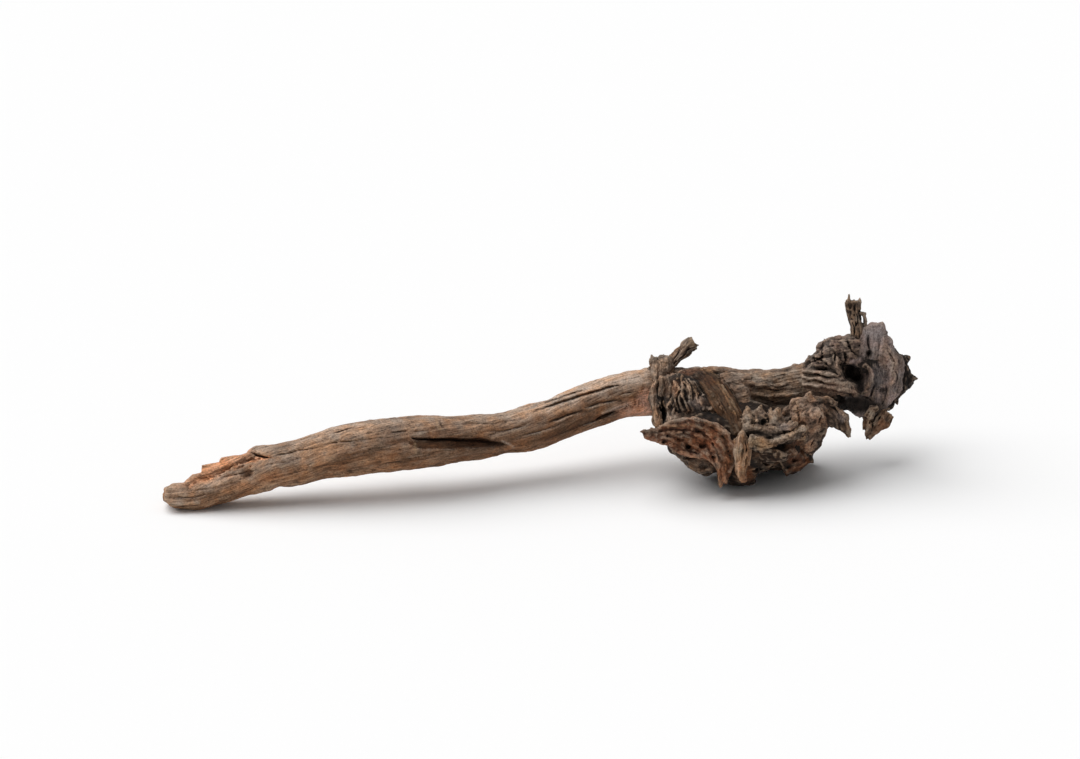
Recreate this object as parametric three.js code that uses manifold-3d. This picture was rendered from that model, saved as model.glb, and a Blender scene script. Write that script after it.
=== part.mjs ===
// Sinker wood: one loose branching root with a long arm, a burl, a neck and a craggy crown.
// Millimetres, +Z up, resting on z = 0. The long arm runs to -X and the crown to +X.

import * as THREE from 'three';
import { mergeVertices } from 'three/addons/utils/BufferGeometryUtils.js';
import Module from 'manifold-3d';

const wasm = await Module();
wasm.setup();

// Driving dimensions
const SIGHT_DOWN = THREE.MathUtils.degToRad(20); // the survey's sight line looks down this much
const EYE_DISTANCE = 2880; // from the eye to the middle of the view
const MIDDLE_UP = 84.4; // the middle of the view, along and across the sight line
const MIDDLE_BACK = -30.7;
const WHOLE_MIDDLE_X = 5.2; // from the survey's zero to the middle of the whole piece
const WHOLE_MIDDLE_Y = 11.6;
const FORK_GAP = 0.3; // clear space left between two pieces that meet at a fork
const ARM_END = 86.4; // x of the fork between arm and burl
const ARM_FRONT = 10; // y in front of which the burl may reach past that fork
const NECK_START = 172; // x of the fork between burl and neck
const NECK_END = 222; // x of the fork between neck and crown
const GROUND_DEPTH = 40; // thickness of the block that trims what would sink below z = 0
const REACH = 1000; // larger than the whole part, for the trimming blocks
const TRUNK_SIDES = 16;
const TRUNK_STEPS = 32;
const LIMB_SIDES = 8;
const SPIKE_SIDES = 4;
const TIP = 0.08; // share of its width that a pointed limb keeps at its tip

// Survey: a place is given as sighted from the eye, as across, up and back. Lines of sight spread
// from the eye, so a place that lies further back is further from the middle than it looks.
const SIGHT_BACK = new THREE.Vector3(0, Math.cos(SIGHT_DOWN), -Math.sin(SIGHT_DOWN));
const SIGHT_UP = new THREE.Vector3(0, Math.sin(SIGHT_DOWN), Math.cos(SIGHT_DOWN));

function offset(across, up, back) {
  return new THREE.Vector3(across, 0, 0)
    .addScaledVector(SIGHT_UP, up)
    .addScaledVector(SIGHT_BACK, back);
}

function at(across, up, back) {
  const spread = 1 + (back - MIDDLE_BACK) / EYE_DISTANCE;
  return offset(across * spread, MIDDLE_UP + (up - MIDDLE_UP) * spread, back);
}

// Closed three.js geometry to a solid
function solid(geometry) {
  const bare = geometry.index ? geometry.clone() : geometry;
  bare.deleteAttribute('normal');
  bare.deleteAttribute('uv');
  const merged = mergeVertices(bare, 1e-4);
  const vertProperties = new Float32Array(merged.attributes.position.array);
  const triVerts = new Uint32Array(merged.index.array);
  return new wasm.Manifold(new wasm.Mesh({ numProp: 3, vertProperties, triVerts }));
}

function join(solids) {
  return solids.reduce((whole, piece) => whole.add(piece));
}

// Uneven growth: a smooth wander of about -1 to 1 over the given wavelength
function wander(point, wavelength, seed) {
  const k = (2 * Math.PI) / wavelength;
  const first = Math.sin(k * point.x + seed) * Math.cos(0.8 * k * point.y + 1.7 * seed);
  const second = Math.sin(1.3 * k * point.z + 2.3 * seed) * Math.cos(0.7 * k * point.x - seed);
  const third = Math.sin(1.1 * k * (point.y + point.z) + 3.1 * seed);
  return (first + second + third) / 2;
}

// A limb is a closed tube through stations of [across, up, back, tall, deep].
function limb(stations, options = {}) {
  const {
    sides = LIMB_SIDES,
    steps = 2 * (stations.length - 1),
    flutes = 3,
    fluting = 0.08,
    twist = 0.4,
    lumps = 0.6,
    seed = 1,
    grow = 0,
  } = options;
  const middles = stations.map(([a, u, b]) => at(a, u, b));
  const path = new THREE.CatmullRomCurve3(middles, false, 'centripetal');
  const sizes = new THREE.CatmullRomCurve3(
    stations.map(([, , , tall, deep], i) => new THREE.Vector3(tall / 2, deep / 2, i)),
    false,
    'catmullrom',
    0.3,
  );
  const geometry = new THREE.CylinderGeometry(1, 1, 1, sides, steps);
  const position = geometry.attributes.position;
  const v = new THREE.Vector3();
  for (let i = 0; i < position.count; i += 1) {
    v.fromBufferAttribute(position, i);
    const share = THREE.MathUtils.clamp(v.y + 0.5, 0, 1);
    const angle = Math.atan2(v.z, v.x);
    const radius = Math.hypot(v.x, v.z);
    const centre = path.getPoint(share);
    const along = path.getTangent(share);
    const size = sizes.getPoint(share);
    const back = SIGHT_BACK.clone().addScaledVector(along, -along.dot(SIGHT_BACK)).normalize();
    const side = back.clone().cross(along);
    const wave = 1 + fluting * Math.cos(flutes * angle + twist * 2 * Math.PI * share + seed);
    const rough = wander(centre, 30, seed + 2 * Math.cos(angle)) * lumps;
    const tall = size.x * wave + rough + grow;
    const deep = size.y * wave + rough + grow;
    const place = centre
      .addScaledVector(back, radius * Math.cos(angle) * Math.max(deep, TIP))
      .addScaledVector(side, radius * Math.sin(angle) * Math.max(tall, TIP));
    position.setXYZ(i, place.x, place.y, place.z);
  }
  return solid(geometry);
}

// A spike runs from one place to another and narrows to a point.
function spike(from, to, tall, deep, options = {}) {
  const middle = from.map((value, i) => (value + to[i]) / 2);
  const stations = [
    [...from, tall, deep],
    [...middle, 0.7 * tall, 0.7 * deep],
    [...to, 0.16 * tall, 0.16 * deep],
  ];
  return limb(stations, { sides: SPIKE_SIDES, steps: 2, flutes: 2, lumps: 0.3, ...options });
}

// A lump is a ball stretched to [wide, tall, deep] radii and made uneven.
function lump([across, up, back], [wide, tall, deep], options = {}) {
  const { detail = 3, bumps = 0.1, wavelength = 40, seed = 1, turn = 0 } = options;
  const geometry = new THREE.IcosahedronGeometry(1, detail);
  const position = geometry.attributes.position;
  const centre = at(across, up, back);
  const v = new THREE.Vector3();
  for (let i = 0; i < position.count; i += 1) {
    v.fromBufferAttribute(position, i);
    const scaled = new THREE.Vector3(v.x * wide, -v.z * deep, v.y * tall);
    const swell = 1 + bumps * wander(scaled, wavelength, seed);
    const a = scaled.x * Math.cos(turn) - scaled.z * Math.sin(turn);
    const u = scaled.x * Math.sin(turn) + scaled.z * Math.cos(turn);
    const place = centre.clone().add(offset(a * swell, u * swell, scaled.y * swell));
    position.setXYZ(i, place.x, place.y, place.z);
  }
  return solid(geometry);
}

// A slab is an outline of [across, up] points, swept back by its depth. Its face can lean and dish.
function slab(outline, nearBack, depth, options = {}) {
  const { leanAcross = 0, leanUp = 0, bevel = 1.6, grow = 0 } = options;
  const points = outline.map(([a, u]) => new THREE.Vector2(a, u));
  const shape = new THREE.Shape(points);
  const geometry = new THREE.ExtrudeGeometry(shape, {
    depth: depth - 2 * bevel + 2 * grow,
    steps: 1,
    bevelEnabled: true,
    bevelSegments: 1,
    bevelThickness: bevel,
    bevelSize: bevel,
    bevelOffset: grow - bevel,
  });
  const box = new THREE.Box2().setFromPoints(points);
  const middle = box.getCenter(new THREE.Vector2());
  const position = geometry.attributes.position;
  const v = new THREE.Vector3();
  for (let i = 0; i < position.count; i += 1) {
    v.fromBufferAttribute(position, i);
    const lean = leanAcross * (v.x - middle.x) + leanUp * (v.y - middle.y);
    const place = at(v.x, v.y, nearBack + bevel - grow + v.z + lean);
    position.setXYZ(i, place.x, place.y, place.z);
  }
  // the sweep goes away from the viewer, so the faces are turned to point out
  const index = [...Array(position.count).keys()];
  for (let i = 0; i < index.length; i += 3) {
    [index[i + 1], index[i + 2]] = [index[i + 2], index[i + 1]];
  }
  geometry.setIndex(index);
  return solid(geometry);
}

// A block that fills everything between two x values, behind a y value where one is given
function block(fromX, toX, fromY = -REACH / 2) {
  const box = new THREE.BoxGeometry(toX - fromX, REACH, REACH);
  box.translate((fromX + toX) / 2, fromY + REACH / 2, 0);
  return solid(box);
}

// The trunk: the one limb that runs from the broken tip through arm, burl and neck to the crown
const TRUNK = [
  [-300.8, -8, -50.3, 9, 12],
  [-292, -8.4, -50.2, 19, 21],
  [-280, -8.8, -49.6, 21, 26],
  [-264, -4.2, -49.1, 25, 30],
  [-248, 0.8, -47.6, 26, 32],
  [-232, 7.2, -46, 29, 34],
  [-214, 14.4, -44.9, 34, 36],
  [-195, 18, -41.8, 35, 37],
  [-176, 23.6, -40.7, 36, 38],
  [-147, 29.6, -37.5, 41.5, 41],
  [-109, 33.6, -30.5, 43.5, 43],
  [-80, 36, -26, 39, 40],
  [-51, 38.4, -17.3, 34.5, 36],
  [-22, 42.8, -7.2, 33, 34],
  [6, 49.8, 1, 34.5, 34],
  [35, 61, 8.6, 35.5, 35],
  [64, 70.6, 16.8, 36, 36],
  [86.4, 74.4, 22.9, 37, 37],
  [112, 74.6, 26.6, 38, 38],
  [144, 74.6, 26.7, 38, 38],
  [176, 75.2, 25.8, 34, 36],
  [200, 79, 26.4, 32, 34],
  [216, 81.2, 29, 34, 36],
  [240, 84, 30, 38, 38],
];

function trunk(grow = 0) {
  return limb(TRUNK, {
    sides: TRUNK_SIDES,
    steps: TRUNK_STEPS,
    flutes: 5,
    fluting: 0.035,
    twist: 1.2,
    lumps: 0.7,
    seed: 2,
    grow,
  });
}

// Long arm
function longArm() {
  const arm = trunk().intersect(block(-REACH / 2, ARM_END - FORK_GAP / 2));
  // the break went in steps: slivers of rising height that end short, one behind the other
  const slivers = [
    [[-284, 2.4], [-278, 8], [-268, 10.6], [-240, 13], [-236, 4], [-276, -6]],
    [[-270.5, 6], [-270, 16], [-256, 17.8], [-226, 22], [-222, 8]],
    [[-256, 14], [-255.5, 21.4], [-234, 25], [-216, 27], [-212, 12]],
    [[-237, 20], [-233, 27.2], [-227, 30.6], [-206, 32], [-196, 16]],
  ];
  const lean = { leanUp: 0.3, bevel: 0.8 };
  const steps = slivers.map((outline, i) => slab(outline, -60 + 2.4 * i, 20 - i, lean));
  // the long groove on the near side, below an overhanging lip
  const groove = limb(
    [
      [-114, 34, -51, 2, 4],
      [-98, 32.4, -48, 12, 12],
      [-74, 34, -44, 12, 15],
      [-52, 35.2, -34, 9, 13],
      [-27, 33.6, -24, 2, 4],
    ],
    { sides: 8, fluting: 0, lumps: 0.2 },
  );
  const underGroove = limb(
    [
      [-6, 41, -20, 1.5, 4],
      [16, 49, -13.5, 5, 8],
      [50, 61, -5, 1.5, 4],
    ],
    { sides: 6, fluting: 0, lumps: 0 },
  );
  const underBulge = lump([-14, 31.5, -8], [11, 5, 11], { detail: 1, seed: 4 });
  return join([arm, ...steps, underBulge]).subtract(groove).subtract(underGroove);
}

// Burl
function earSlab() {
  const outline = [
    [82.4, 44], [84.5, 38], [90, 35.4], [101, 31], [113, 22], [122, 12.5], [131, 9.4], [139, 12],
    [143, 6], [145, -1.6], [149.5, 4], [153, 11], [157, 20], [156, 30], [151, 41], [141, 49.5],
    [125, 53.6], [110, 52.4], [95, 45.8],
  ];
  const body = slab(outline, -46, 17, { leanAcross: 0.16, leanUp: -0.1, bevel: 3 });
  const dish = lump([121, 34, -49], [24, 10, 6], { detail: 1, bumps: 0.12, turn: -0.25, seed: 3 });
  const innerFold = limb(
    [
      [108, 50, -38, 4, 5],
      [134, 44, -44, 5, 6],
      [149, 28, -45, 5, 6],
      [147, 4, -38, 4, 6],
    ],
    { sides: 5, steps: 4, lumps: 0.3 },
  );
  return body.subtract(dish).add(innerFold);
}

function burl() {
  const masses = [
    trunk().intersect(block(ARM_END + FORK_GAP / 2, NECK_START - FORK_GAP / 2)),
    lump([153, 35, -6], [47, 33, 35], { detail: 3, bumps: 0.09, wavelength: 46, seed: 5 }),
    lump([118, 66, 4], [24, 26, 27], { detail: 1, bumps: 0.08, seed: 2 }),
    lump([144, 66, 2], [26, 24, 22], { detail: 1, bumps: 0.08, seed: 6, turn: -0.6 }),
    lump([188, 34, 4], [31, 27, 32], { detail: 1, bumps: 0.08, wavelength: 28, seed: 7 }),
    lump([181, 41, -17], [26, 15, 24], { detail: 1, bumps: 0.14, wavelength: 22, seed: 4 }),
    lump([214, 54, -12], [20, 18, 16], { detail: 1, bumps: 0.16, wavelength: 20, seed: 8 }),
    // swelling wood that carries the trunk on the burl's far side
    lump([141, 60, 30], [44, 17, 17], { detail: 1, bumps: 0.08, wavelength: 30, seed: 3 }),
  ];
  const feet = [
    lump([161, 13.5, 0], [26, 14, 26], { detail: 1, bumps: 0.12, wavelength: 24, seed: 9 }),
    lump([190, 26, 38], [22, 17, 21], { detail: 1, bumps: 0.12, wavelength: 24, seed: 10 }),
    lump([133, 16, 4], [13, 13, 14], { detail: 1, bumps: 0.14, wavelength: 20, seed: 11 }),
    spike([194, 20, 22], [198.5, 8.8, 22], 16, 16),
    spike([210, 30, 40], [218, 18.7, 40], 16, 14),
    spike([166, 14, -4], [169, 1.5, 0], 14, 14),
    spike([141, 14, -34], [145.5, -1.6, -24], 11, 10),
  ];
  // wrinkled bark over the shoulder between twig and fan
  const wrinkles = [0, 1, 2, 3, 4].map((i) => limb(
    [
      [104 + 5.4 * i, 86 - 1.6 * i, -4, 2, 3],
      [103 + 5.8 * i, 74 - 1.2 * i, -17, 4, 6],
      [105 + 6.6 * i, 56 - 0.6 * i, -26, 2, 4],
    ],
    { sides: 5, steps: 3, lumps: 0.5, seed: i },
  ));
  // smooth bark fan from the trunk's top down to the wedge
  const fan = [0, 1, 2].map((i) => limb(
    [
      [121 + 11 * i, 91 - 0.5 * i, 8, 6, 8],
      [132 + 9 * i, 78 - i, -14, 11, 11],
      [147 + 6 * i, 62 - 0.5 * i, -29, 10, 10],
      [157 + 2 * i, 47, -36, 4, 6],
    ],
    { sides: 6, steps: 4, lumps: 0.4, seed: 3 + i },
  ));
  const wedge = limb(
    [
      [160.5, 41.5, -41, 2, 4],
      [159.5, 34, -42, 9, 10],
      [161, 24, -41, 11, 10],
      [161, 9, -34, 4, 8],
    ],
    { sides: 7, lumps: 0.3 },
  );
  const lowerLedge = [
    [165, 35, -43, 6, 6],
    [182, 36.5, -46, 8, 9],
    [198, 41, -40, 7, 8],
    [212, 45, -30, 3, 4],
  ];
  const lobe = [
    [221, 71], [230, 69], [238, 66], [244, 61], [246.6, 54], [247.5, 39.2], [243, 43], [237, 47],
    [228, 46.5], [216, 42],
  ];
  const strand = [[91, 101, 14, 5, 8], [94.4, 84, 6, 7, 12], [92.4, 66, 3, 7, 14], [92, 46, -8, 5, 9]];
  const collarSlit = [[98.4, 72, -8, 2, 4], [98.6, 60, -10, 6, 16], [98.4, 50, -14, 2, 6]];
  const ledgeGap = [[166, 41.5, -50, 2, 8], [180, 43.5, -48, 4.5, 14], [186, 42, -46, 2, 8]];
  const crags = [
    spike([166, 52, -30], [164, 61, -34], 9, 8),
    spike([178, 52, -30], [179.5, 62.5, -33], 9, 8),
    spike([187, 48, -26], [190.5, 62.5, -29], 10, 10),
    spike([210, 62, -16], [216, 73.6, -18], 14, 10),
    limb([[164, 46, -41, 6, 6], [176, 50, -44, 8, 8], [190, 49, -40, 6, 6]], { sides: 5, seed: 2 }),
    limb(lowerLedge, { sides: 6 }),
    slab([[185, 39], [186, 46], [196, 46], [196.5, 38]], -46, 14, { bevel: 1.2 }),
    limb([[222, 60, -18, 10, 9], [234, 66, -14, 10, 8], [243, 70, -8, 3, 4]], { sides: 6, seed: 4 }),
    slab(lobe, -20, 13, { leanAcross: 0.3, bevel: 1.6 }),
  ];
  const collar = [
    limb(strand, { sides: 6, seed: 3 }),
    lump([98, 95, 20], [9, 8.5, 11], { detail: 1, bumps: 0.18, wavelength: 12, seed: 5 }),
  ];
  const hollows = [
    limb(collarSlit, { sides: 7, fluting: 0, lumps: 0 }),
    lump([180, 51, -42], [4.5, 4, 8], { detail: 1 }),
    limb(ledgeGap, { sides: 6, fluting: 0 }),
    lump([193, 25, -32], [14, 11, 8], { detail: 1, turn: 0.3 }),
  ];
  const whole = join([...masses, ...feet, earSlab(), ...wrinkles, ...fan, wedge, ...crags, ...collar]);
  return hollows.reduce((left, hollow) => left.subtract(hollow), whole);
}

// Twig stub
const TWIG = [
  [101, 92, 22, 9, 10],
  [106, 98.6, 23, 8.5, 9],
  [112, 105, 24, 8.5, 8],
  [118, 110.6, 25, 10, 9],
  [123.6, 113.4, 25, 9.5, 8],
];

function twigStub(grow = 0) {
  const rod = limb(TWIG, { sides: 8, steps: 7, fluting: 0.1, lumps: 0.5, seed: 4, grow });
  const fork = spike([116, 111, 24], [121.5, 117.8, 24], 6, 6, { grow });
  const knob = spike([101, 97, 21], [99.4, 104.4, 20], 7, 7, { grow });
  return join([rod, fork, knob]);
}

// Neck
const NECK_RIDGES = [
  [[166, 82, 10, 3, 4], [196, 84, 10, 4, 5], [228, 88, 14, 3, 4]],
  [[166, 72, 8, 3, 4], [190, 73, 8, 4, 5], [214, 80, 10, 4, 5], [228, 82, 12, 3, 4]],
  [[166, 66, 9, 3, 4], [192, 67, 11, 4, 5], [228, 73, 14, 3, 4]],
];

function neck(grow = 0) {
  const ridges = NECK_RIDGES.map((ridge, i) => limb(ridge, { sides: 6, seed: 1 + 2 * i, grow }));
  const between = block(NECK_START + FORK_GAP / 2 - grow, NECK_END - FORK_GAP / 2 + grow);
  return join([trunk(grow), ...ridges]).intersect(between);
}

// Root crown
function rootCrown() {
  const plate = [
    [262, 128], [274.6, 129.2], [277, 121], [283, 108], [290, 101], [291, 91], [288, 76], [283, 68],
    [277, 62], [266, 54], [254, 56], [246, 62], [240, 80], [244, 104], [254, 118],
  ];
  const flange = [
    [270, 129], [276.5, 121], [284, 107], [291, 101.5], [295.6, 100], [295, 91.5], [301.6, 84.5],
    [288, 72], [280, 61], [268, 66], [262, 92], [264, 118],
  ];
  const masses = [
    slab(plate, 14, 22, { leanAcross: 0.1, leanUp: -0.1, bevel: 3 }),
    slab(flange, 38, 8, { leanAcross: -0.1, leanUp: -0.1, bevel: 1.5 }),
    lump([262, 96, 30], [25, 30, 17], { detail: 2, bumps: 0.1, wavelength: 26, seed: 12 }),
    trunk().intersect(block(NECK_END + FORK_GAP / 2, REACH / 2)),
    // the trunk's end runs out into the crown's back
    lump([247, 86, 37], [21, 25, 19.5], { detail: 1, bumps: 0.08, wavelength: 24, seed: 4 }),
    lump([231, 102, 22], [14, 15, 15], { detail: 1, bumps: 0.16, wavelength: 15, seed: 13 }),
    lump([221, 96, 22], [11, 10, 12], { detail: 1, bumps: 0.16, wavelength: 14, seed: 14 }),
    lump([240, 108, 20], [14, 11, 12], { detail: 1, bumps: 0.2, wavelength: 13, seed: 15 }),
    lump([234, 84, 12], [13, 9, 9], { detail: 1, bumps: 0.18, wavelength: 13, seed: 16 }),
    limb([[236, 104, 8, 4, 5], [239, 93, 4, 6, 6], [240, 82, 6, 4, 5]], { sides: 7, seed: 6 }),
    limb([[262, 104, 14, 3, 4], [264, 90, 10, 5, 7], [258, 76, 12, 4, 5]], { sides: 6, seed: 2 }),
    limb([[252, 60, 26, 14, 16], [260, 64, 26, 16, 16], [267, 64, 26, 12, 14]], { sides: 8, seed: 8 }),
  ];
  const cave = lump([251.6, 88.8, 6], [8.6, 9.6, 17], { detail: 1, bumps: 0.08, wavelength: 18 });
  const pocket = lump([262.6, 104.8, 10], [3.6, 3, 8], { detail: 1 });
  return join(masses).subtract(cave).subtract(pocket).subtract(neck(FORK_GAP));
}

// Crown prong
const PRONG = [
  [254, 108, 21, 13, 14],
  [253.6, 118, 18, 10, 12],
  [252.6, 128, 15, 10, 10],
  [250.8, 139, 11, 11.5, 9],
  [251, 146.6, 8, 10.5, 7],
];

function crownProng(grow = 0) {
  const stem = limb(PRONG, { sides: 8, steps: 8, fluting: 0.1, lumps: 0.5, seed: 3, grow });
  const tips = [
    spike([247.6, 143, 9], [247.4, 152, 6.5], 5.5, 5.5, { grow }),
    spike([254.6, 143, 9], [256, 148.4, 8], 5.5, 5.5, { grow }),
  ];
  const post = [[256, 124], [256.5, 138], [260.6, 138], [261.4, 124], [259, 114], [255, 114]];
  const splinter = slab(post, 10, 7, { leanUp: -0.3, bevel: 0.6, grow });
  const window = [[256.6, 130], [256.6, 135.6], [259.4, 135.6], [259.4, 130]];
  const notch = slab(window, 2, 9, { bevel: 0.4 });
  return join([stem, ...tips, splinter]).subtract(notch);
}

// Lower root
const NUB = [
  [276, 58, 24, 15, 15],
  [272, 52, 23, 16, 14],
  [266, 45, 23, 12, 12],
  [262, 38.6, 23, 5, 7],
];

function lowerRoot(grow = 0) {
  const stub = limb(NUB, { sides: 8, steps: 5, fluting: 0.12, lumps: 0.7, seed: 5, grow });
  const arms = [
    spike([262, 50, 24], [257.6, 44.6, 24], 8, 8, { grow }),
    spike([274, 54, 22], [280.4, 56, 22], 9, 9, { grow }),
    spike([272, 58, 22], [279, 60.4, 22], 7, 8, { grow }),
  ];
  return join([stub, ...arms]);
}

// Fit the pieces to each other
const ground = new THREE.BoxGeometry(REACH, REACH, GROUND_DEPTH);
ground.translate(0, 0, -GROUND_DEPTH / 2);
const below = solid(ground);

const armSolid = longArm().subtract(below);
const neckSolid = neck();
const crownSolid = rootCrown().subtract(crownProng(FORK_GAP)).subtract(lowerRoot(FORK_GAP));
const armSide = block(-REACH / 2, ARM_END + FORK_GAP / 2, ARM_FRONT);
const burlSolid = burl()
  .subtract(below)
  .subtract(armSide)
  .subtract(neck(FORK_GAP))
  .subtract(twigStub(FORK_GAP));
const twigSolid = twigStub();
const prongSolid = crownProng();
const stubSolid = lowerRoot();

const WOOD = {
  long_arm: [armSolid, '#6f5a4a'],
  burl: [burlSolid, '#54402f'],
  twig_stub: [twigSolid, '#4d4038'],
  neck: [neckSolid, '#5e4d40'],
  root_crown: [crownSolid, '#443b38'],
  crown_prong: [prongSolid, '#62564c'],
  lower_root: [stubSolid, '#5c4230'],
};

function toMesh(name, piece, colour) {
  const { vertProperties, triVerts, numProp } = piece.getMesh();
  const geometry = new THREE.BufferGeometry();
  const position = new Float32Array((vertProperties.length / numProp) * 3);
  for (let i = 0; i < position.length / 3; i += 1) {
    position.set(vertProperties.slice(i * numProp, i * numProp + 3), i * 3);
  }
  geometry.setAttribute('position', new THREE.BufferAttribute(position, 3));
  geometry.setIndex(new THREE.BufferAttribute(new Uint32Array(triVerts), 1));
  geometry.computeVertexNormals();
  const material = new THREE.MeshStandardMaterial({ color: colour, roughness: 0.85, metalness: 0 });
  const mesh = new THREE.Mesh(geometry, material);
  mesh.name = name;
  return mesh;
}

// The origin is on the ground, under the middle of the whole piece.
const sinkerWood = new THREE.Group();
sinkerWood.position.set(-WHOLE_MIDDLE_X, -WHOLE_MIDDLE_Y, 0);
for (const [name, [piece, colour]] of Object.entries(WOOD)) {
  sinkerWood.add(toMesh(name, piece, colour));
}

export default sinkerWood;
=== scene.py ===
import math
from itertools import product

import bpy
import numpy as np
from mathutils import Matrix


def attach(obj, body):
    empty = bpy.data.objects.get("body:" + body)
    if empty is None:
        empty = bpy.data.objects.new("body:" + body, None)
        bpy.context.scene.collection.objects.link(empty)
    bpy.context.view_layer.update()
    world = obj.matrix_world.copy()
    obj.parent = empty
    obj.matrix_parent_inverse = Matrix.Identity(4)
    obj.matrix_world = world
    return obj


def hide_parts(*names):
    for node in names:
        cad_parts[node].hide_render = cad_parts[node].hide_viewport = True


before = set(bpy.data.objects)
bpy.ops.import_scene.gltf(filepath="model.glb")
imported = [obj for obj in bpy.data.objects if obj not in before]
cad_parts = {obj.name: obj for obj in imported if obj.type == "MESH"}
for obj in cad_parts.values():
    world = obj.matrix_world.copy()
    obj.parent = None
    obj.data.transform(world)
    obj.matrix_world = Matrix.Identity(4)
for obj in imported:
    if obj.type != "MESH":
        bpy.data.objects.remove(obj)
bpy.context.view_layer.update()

import openvdb
from bpy.props import FloatProperty, FloatVectorProperty, PointerProperty
from bpy.types import Operator, Panel, PropertyGroup

bl_info = {
    "name": "Sinker wood", "version": (1, 0, 0), "blender": (4, 5, 0), "location": "View3D > Sidebar > Sinker wood",
    "description": "One loose branching root with its splintered arm, burl, neck and crown, on a pale stage",
    "category": "Add Mesh"}

# The survey: places are sighted from the eye as across, up and back, in millimetres
SIGHT_DOWN = math.radians(20)
EYE_DISTANCE = 2880.0
TARGET_UP = 89.8
MIDDLE_UP = 84.4
MIDDLE_BACK = -30.7
WHOLE_MIDDLE = np.array((5.2, 11.6, 0.0))
SIGHT_BACK = np.array((0.0, math.cos(SIGHT_DOWN), -math.sin(SIGHT_DOWN)))
SIGHT_UP = np.array((0.0, math.sin(SIGHT_DOWN), math.cos(SIGHT_DOWN)))
ACROSS = np.array((1.0, 0.0, 0.0))
SIGHT_REACH = (-75.0, 70.0)
CENTIMETRE = 10.0
# Where arm and burl, burl and neck, and neck and crown meet
ARM_END = 86.4
NECK_START = 172.0
NECK_END = 222.0
# How far pieces run into each other, feet into the ground, and bends, relief and carved skin into the wood
OVERLAP = 1.2
SINK = 0.05
DRIFT_REACH = 3.2
RELIEF_REACH = 3.6
CARVED_DEPTH = 2.0
# Cubes on each side of a surface whose distance is kept, and points worked on at once
BAND = 7
AT_ONCE = 20000


def at(across, up, back):
    """The places that lie at across, up and back values as seen from the eye."""
    across, up, back = np.broadcast_arrays(*(np.asarray(v, float) for v in (across, up, back)))
    spread = 1 + (back - MIDDLE_BACK) / EYE_DISTANCE
    high = MIDDLE_UP + (up - MIDDLE_UP) * spread
    return (across * spread)[..., None] * ACROSS + high[..., None] * SIGHT_UP + back[..., None] * SIGHT_BACK


def sighted(x, y, z):
    """The across, up and back values at which places are seen."""
    back = y * SIGHT_BACK[1] + z * SIGHT_BACK[2]
    spread = 1 + (back - MIDDLE_BACK) / EYE_DISTANCE
    high = y * SIGHT_UP[1] + z * SIGHT_UP[2]
    return x / spread, MIDDLE_UP + (high - MIDDLE_UP) / spread, back


# Uneven growth: steady noise from whole-number places
def lattice(x, y, z, seed):
    mixed = x.astype(np.uint32) * np.uint32(374761393) + y.astype(np.uint32) * np.uint32(668265263)
    mixed = mixed + z.astype(np.uint32) * np.uint32(2246822519) + np.uint32(seed * 3266489917 & 0xffffffff)
    mixed = (mixed ^ (mixed >> np.uint32(13))) * np.uint32(1274126177)
    mixed = mixed ^ (mixed >> np.uint32(16))
    return (mixed & np.uint32(0xffffff)).astype(np.float32) / 16777215.0


def corner_blend(part, value_at):
    """The values at a cell's eight corners, blended by each place's share of the way across it."""
    total = np.zeros(len(part), np.float32)
    for steps in product((0, 1), repeat=3):
        wx, wy, wz = (part[:, n] if steps[n] else 1 - part[:, n] for n in range(3))
        total += wx * wy * wz * value_at(*steps)
    return total


def noise(points, seed):
    """Smooth noise from -1 to 1 with features about one unit across."""
    whole = np.floor(points)
    part = (points - whole).astype(np.float32)
    part = part * part * part * (part * (part * 6 - 15) + 10)
    x, y, z = whole.astype(np.int64).T
    return corner_blend(part, lambda i, j, k: lattice(x + i, y + j, z + k, seed)) * 2 - 1


def rough(points, seed, octaves=3):
    total = sum(noise(points * 2 ** i, seed + 17 * i) * 0.5 ** i for i in range(octaves))
    return total / sum(0.5 ** i for i in range(octaves))


def cells(points, seed):
    """Distance to the nearest of many scattered seeds, about one unit apart."""
    cell = np.floor(points).astype(np.int64)
    nearest = np.full(len(points), 9.0, np.float32)
    for step in product((-1, 0, 1), repeat=3):
        corner = [cell[:, n] + step[n] for n in range(3)]
        away = [corner[n] + lattice(*corner, seed + n) - points[:, n] for n in range(3)]
        nearest = np.minimum(nearest, sum(d * d for d in away))
    return np.sqrt(nearest)


def step_up(value, low, high):
    share = np.clip((value - low) / (high - low), 0, 1)
    return share * share * (3 - 2 * share)


def drift(points):
    """How far growth and decay have bent each place, in millimetres: little on the arm, more on the burl."""
    strength = 0.35 + 0.65 * step_up(points[:, 0], 55, 105)
    shift = np.empty(points.shape)
    for axis in range(3):
        shift[:, axis] = 1.3 * noise(points / 8, 3 + axis) + 0.55 * noise(points / 3.4, 13 + axis)
    shift[:, 2] *= step_up(points[:, 2], 0, 12)
    return shift * strength[:, None]


def wander(x, y, z, wavelength, seed):
    """Soft swells, for outlines that aren't quite round."""
    k = 2 * np.pi / wavelength
    first = np.sin(k * x + seed) * np.cos(0.8 * k * y + 1.7 * seed)
    second = np.sin(1.3 * k * z + 2.3 * seed) * np.cos(0.7 * k * x - seed)
    third = np.sin(1.1 * k * (y + z) + 3.1 * seed)
    return (first + second + third) / 2


def roundness(*parts):
    """Where each place lies in a stretched ball, 1 on its surface, and how fast that changes."""
    return tuple(np.sqrt(sum((p / size ** n) ** 2 for p, size in parts)) + 1e-6 for n in (1, 2))


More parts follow.
